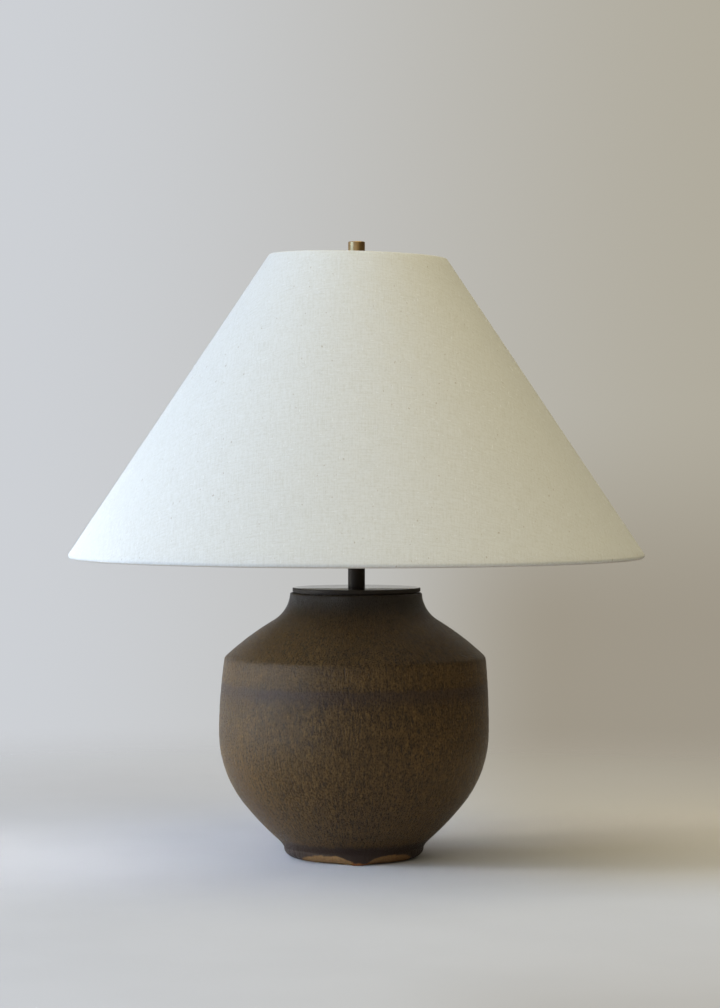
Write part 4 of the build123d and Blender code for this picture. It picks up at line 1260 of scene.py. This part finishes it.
class LAMP_OT_harp_ferrules(bpy.types.Operator):
    """Makes the two knurled ferrules that lock the harp"""

    bl_idname = "lamp.harp_ferrules"
    bl_label = "Harp Ferrules"

    def execute(self, context):
        fitting = context.scene.lamp_fittings
        brass = plated_metal("ferrule_brass", fitting.spun_brass, roughness=0.25)
        bore = fitting.ferrule_bore
        outer = bore + fitting.ferrule_wall
        rows, segments, ridges_round = 24, 176, 22.0
        bore_edge, collar_foot, collar_edge, ledge_cove = 0.0002, 0.0003, 0.0004, 0.0006
        bevel_height, bevel_width = 0.0004, 0.0003
        knurl_foot, knurl_head, knurl_fade = 0.0008, 0.0006, 0.0004
        for node_name in ("harp_ferrule_front", "harp_ferrule_back"):
            lowest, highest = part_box(node_name)
            collar = (highest.x - lowest.x) / 2
            foot, head = lowest.z, highest.z
            ledge = foot + fitting.ferrule_collar
            outline = rounded((bore, foot, bore_edge), (collar, foot, collar_foot),
                              (collar, ledge, collar_edge), (outer, ledge + ledge_cove))
            outline += [(outer, height) for height in evenly(ledge, head, rows)[1:-1]]
            outline += [(outer, head - bevel_height), (outer - bevel_width, head), (bore, head)]
            ridges = {"ridge_depth": fitting.knurl, "ridges_round": ridges_round,
                      "ridge_bottom": ledge + knurl_foot, "ridge_top": head - knurl_head,
                      "ridge_fade": knurl_fade}
            piece = turned(node_name + "_knurled", outline, brass, segments=segments, ridges=ridges)
            centre = (lowest + highest) / 2
            piece.data.transform(Matrix.Translation((centre.x, centre.y, 0.0)))
            stand_for(piece, node_name)
        return {"FINISHED"}


def thread_ridges(fitting, depth, bottom, top, fade):
    """Ridges of the rolled thread that the bulb and the screw shell share."""
    return {"ridge_depth": depth, "ridges_round": 1.0, "ridges_along": 1.0 / fitting.thread_pitch,
            "ridge_bottom": bottom, "ridge_top": top, "ridge_fade": fade}


class LAMP_OT_holder(bpy.types.Operator):
    """Makes the spun brass lamp holder and finishes what is inside it"""

    bl_idname = "lamp.holder"
    bl_label = "Lamp Holder"

    def execute(self, context):
        fitting = context.scene.lamp_fittings
        brass = turned_metal("polished_brass", fitting.spun_brass, fitting.brass, roughness=0.24,
                             brushing=0.00003, tarnish=0.35)
        phenolic = moulded("phenolic_black", fitting.phenolic, roughness=0.4, grain_size=0.0006,
                           relief=0.00002)
        fibre = moulded("fibre_board", fitting.fibre, roughness=0.8, grain_size=0.0005, relief=0.00006)
        zinc = plated_metal("zinc_steel", fitting.zinc, roughness=0.35)
        stand_for(self.make_shell(fitting, brass), "holder_shell")
        stand_for(self.make_screw_shell(fitting, brass), "screw_shell")
        dress(brass, "holder_cap", "centre_contact", "terminal_screws")
        dress(phenolic, "holder_body")
        dress(fibre, "holder_liner")
        dress(zinc, "clamp_bar", "pipe_lock_washer", "pipe_nut", "threaded_pipe", "saddle_nut",
              "holder_set_screw")
        return {"FINISHED"}

    def make_shell(self, fitting, brass):
        """Thin shell with three rolled beads, a lip turned in at its mouth and a slot for the switch."""
        beads, bead_rows, lip_clearance, mouth_round = 3, 60, 0.0003, 0.0012
        bead_foot, bead_head, shoulder_rise, mouth_step = 0.016, 0.006, 0.001, 0.0004
        radius, foot, head = reach("holder_shell"), low("holder_shell"), high("holder_shell")
        inner, lip, under = radius - fitting.sheet, reach("screw_shell") + lip_clearance, head - fitting.sheet
        waist, inner_waist = radius - fitting.bead, inner - fitting.bead
        bottom, top = head - bead_foot, head - bead_head
        hollow = [1 - (1.0 - math.cos(FULL_TURN * beads * step / bead_rows)) / 2
                  for step in range(bead_rows + 1)]
        outside, inside = ([(wall - fitting.bead * share, height)
                            for share, height in zip(hollow, evenly(bottom, top, bead_rows))]
                           for wall in (radius, inner))
        mouth = rounded((waist, top + shoulder_rise), (waist, head, mouth_round), (lip, head), (lip, under))
        outline = [(inner, foot), (radius, foot), *outside, *mouth, (inner_waist - mouth_step, under),
                   (inner_waist, top + shoulder_rise), *inside[::-1]]
        shell = turned("holder_shell_spun", outline, brass)
        cut_away(shell, self.slot_cutter(fitting, foot, 2 * radius))
        return smooth(shell)

    def slot_cutter(self, fitting, foot, far):
        """Arched block that cuts the slot for the switch's shaft."""
        arch_steps, overlap = 16, 0.002
        half, shaft = fitting.slot_half, (high("switch_shaft") + low("switch_shaft")) / 2
        arch = arc_round((0.0, shaft), half, 0.0, math.pi, arch_steps)
        slot = [(half, foot - overlap), *arch, (-half, foot - overlap)]
        total = len(slot)
        corners = [(x, y, z) for x in (0.0, far) for y, z in slot]
        faces = [tuple(range(total))[::-1], tuple(range(total, 2 * total))]
        faces += [(i, (i + 1) % total, (i + 1) % total + total, i + total) for i in range(total)]
        return new_piece("slot_cutter", corners, faces=faces)

    def make_screw_shell(self, fitting, brass):
        """Screw shell with a rolled thread for the bulb."""
        rows, wall, depth_share, thread_end, thread_fade = 120, 0.0005, 0.3, 0.001, 0.002
        outer, foot, head = reach("screw_shell"), low("screw_shell"), high("screw_shell")
        heights = evenly(foot, head, rows)
        outline = [(outer, z) for z in heights] + [(outer - wall, z) for z in heights[::-1]]
        ridges = thread_ridges(fitting, fitting.thread_depth * depth_share, foot + thread_end,
                               head - thread_end, thread_fade)
        return turned("screw_shell_rolled", outline, brass, ridges=ridges)


class LAMP_OT_switch(bpy.types.Operator):
    """Finishes the switch's shaft and knob"""

    bl_idname = "lamp.switch"
    bl_label = "Switch"

    def execute(self, context):
        fitting = context.scene.lamp_fittings
        knob = moulded("knob_black", fitting.phenolic, roughness=0.32, grain_size=0.0008, relief=0.00002)
        dress(knob, "switch_knob")
        dress(plated_metal("shaft_steel", fitting.zinc, roughness=0.3), "switch_shaft")
        return {"FINISHED"}


class LAMP_OT_bulb(bpy.types.Operator):
    """Makes the bulb's rolled base and finishes its glass and contacts"""

    bl_idname = "lamp.bulb"
    bl_label = "Bulb"

    def execute(self, context):
        fitting = context.scene.lamp_fittings
        metal = plated_metal("bulb_aluminium", fitting.aluminium, roughness=0.3)
        vitrite = moulded("black_glass", fitting.vitrite, roughness=0.12, grain_size=0.002, relief=0.00001)
        rows, wall, bevel, thread_foot, thread_head, thread_fade = 96, 0.0005, 0.001, 0.0012, 0.002, 0.0025
        outer, foot, head = reach("bulb_base"), low("bulb_base"), high("bulb_base")
        heights = evenly(foot + bevel, head, rows)
        outline = [(0.0, foot), (outer - bevel, foot), *((outer, z) for z in heights),
                   *((outer - wall, z) for z in heights[::-1]), (0.0, foot + bevel)]
        ridges = thread_ridges(fitting, fitting.thread_depth, foot + thread_foot, head - thread_head,
                               thread_fade)
        piece = turned("bulb_base_rolled", outline, metal, closed=False, ridges=ridges)
        stand_for(piece, "bulb_base")
        dress(metal, "bulb_button")
        dress(vitrite, "bulb_insulator")
        dress(frosted_glass(fitting), "bulb_globe")
        return {"FINISHED"}


class LAMP_OT_stage(bpy.types.Operator):
    """Makes the pale floor and room, the soft lights and the camera"""

    bl_idname = "lamp.stage"
    bl_label = "Stage"

    def execute(self, context):
        stage = context.scene.lamp_stage
        self.make_floor(stage)
        self.make_lights(context, stage)
        self.make_room(context, stage)
        self.make_camera(context, stage)
        context.scene.view_settings.view_transform = "Standard"
        return {"FINISHED"}

    def make_floor(self, stage):
        """Round floor under the lamp."""
        corners = 96
        edge = arc_round((0.0, 0.0), stage.floor_radius, 0.0, FULL_TURN, corners)[:-1]
        floor = new_piece("stage_floor", [(x, y, -stage.floor_gap) for x, y in edge],
                          faces=[tuple(range(corners))])
        floor.data.materials.append(floor_paint(stage))

    def make_lights(self, context, stage):
        """Two cool windows on the left, a pool of light by the pot and a warm ceiling."""
        middle = (0.0, 0.0, 0.3)
        self.add_light(context, "window_light", place=(-1.85, -0.75, 0.95), aim=middle, size=1.4,
                       spread=180.0, tint=stage.window, power=stage.window_power)
        self.add_light(context, "low_window_light", place=(-1.9, 0.12, 0.22), aim=(0.0, 0.0, 0.08), size=0.25,
                       spread=30.0, tint=stage.low_window, power=stage.low_power)
        self.add_light(context, "pool_light", place=(-1.6, -0.3, 0.6), aim=(-0.11, 0.05, 0.0), size=0.3,
                       spread=18.0, tint=stage.pool, power=stage.pool_power)
        self.add_light(context, "ceiling_light", place=(0.3, -0.6, 2.4), aim=middle, size=3.0, spread=180.0,
                       tint=stage.ceiling, power=stage.ceiling_power)

    def add_light(self, context, name, place, aim, size, spread, tint, power):
        """Square light that shines from its place to its aim, over a spread in degrees."""
        data = bpy.data.lights.new(name, "AREA")
        data.shape, data.size, data.color, data.energy = "SQUARE", size, tint, power
        data.spread = math.radians(spread)
        light = bpy.data.objects.new(name, data)
        light.location = place
        light.visible_camera = False
        light.rotation_mode = "QUATERNION"
        light.rotation_quaternion = (Vector(aim) - light.location).to_track_quat("-Z", "Y")
        context.scene.collection.objects.link(light)

    def make_room(self, context, stage):
        """Pale room all round, cool on the left and warm on the right."""
        world = bpy.data.worlds.new("room")
        world.use_nodes = True
        tree = world.node_tree
        side, _, rise = parts_of(tree, node(tree, "ShaderNodeTexCoord").outputs["Object"])
        room = mixed(tree, between(tree, side, start=-0.14, end=0.14), stage.room_left, stage.room_right)
        shadow = times(tree, between(tree, side, start=0.0, end=0.07),
                       between(tree, rise, start=0.02, end=-0.06))
        room = mixed(tree, shadow, room, stage.room_shadow)
        room = mixed(tree, between(tree, side, start=0.14, end=0.8), room, stage.room_far)
        tree.links.new(room, tree.nodes["Background"].inputs["Color"])
        context.scene.world = world

    def make_camera(self, context, stage):
        """Camera level with the shade, looking along +Y and a little down."""
        data = bpy.data.cameras.new("camera")
        sensor_width = 36.0
        data.lens, data.sensor_width, data.sensor_fit = stage.lens, sensor_width, "AUTO"
        camera = bpy.data.objects.new("camera", data)
        camera.location = (stage.eye_side, -stage.distance, stage.eye_height)
        camera.rotation_euler = (QUARTER_TURN - stage.tilt, 0.0, 0.0)
        context.scene.collection.objects.link(camera)
        context.scene.camera = camera


OPERATORS = (LAMP_OT_pot, LAMP_OT_cord_inlet, LAMP_OT_cap_and_stem, LAMP_OT_finial, LAMP_OT_shade,
             LAMP_OT_shade_frame, LAMP_OT_harp_ferrules, LAMP_OT_holder, LAMP_OT_switch, LAMP_OT_bulb,
             LAMP_OT_stage)


class LAMP_PT_pieces(bpy.types.Panel):
    """Lists the lamp's pieces"""

    bl_idname = "LAMP_PT_pieces"
    bl_label = "Pottery Lamp"
    bl_space_type = "VIEW_3D"
    bl_region_type = "UI"
    bl_category = "Lamp"

    def draw(self, context):
        for operator in OPERATORS:
            self.layout.operator(operator.bl_idname)


SETTINGS = {"lamp_pot": PotSettings, "lamp_shade": ShadeSettings, "lamp_fittings": FittingSettings,
            "lamp_stage": StageSettings}
CLASSES = (*SETTINGS.values(), *OPERATORS, LAMP_PT_pieces)


def register():
    for item in CLASSES:
        bpy.utils.register_class(item)
    for name, group in SETTINGS.items():
        setattr(bpy.types.Scene, name, bpy.props.PointerProperty(type=group))


def unregister():
    for name in SETTINGS:
        delattr(bpy.types.Scene, name)
    for item in reversed(CLASSES):
        bpy.utils.unregister_class(item)


def main():
    register()
    bpy.ops.lamp.pot()
    bpy.ops.lamp.cord_inlet()
    bpy.ops.lamp.cap_and_stem()
    bpy.ops.lamp.finial()
    bpy.ops.lamp.shade()
    bpy.ops.lamp.shade_frame()
    bpy.ops.lamp.harp_ferrules()
    bpy.ops.lamp.holder()
    bpy.ops.lamp.switch()
    bpy.ops.lamp.bulb()
    bpy.ops.lamp.stage()
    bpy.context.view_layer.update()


if __name__ == "__main__":
    main()
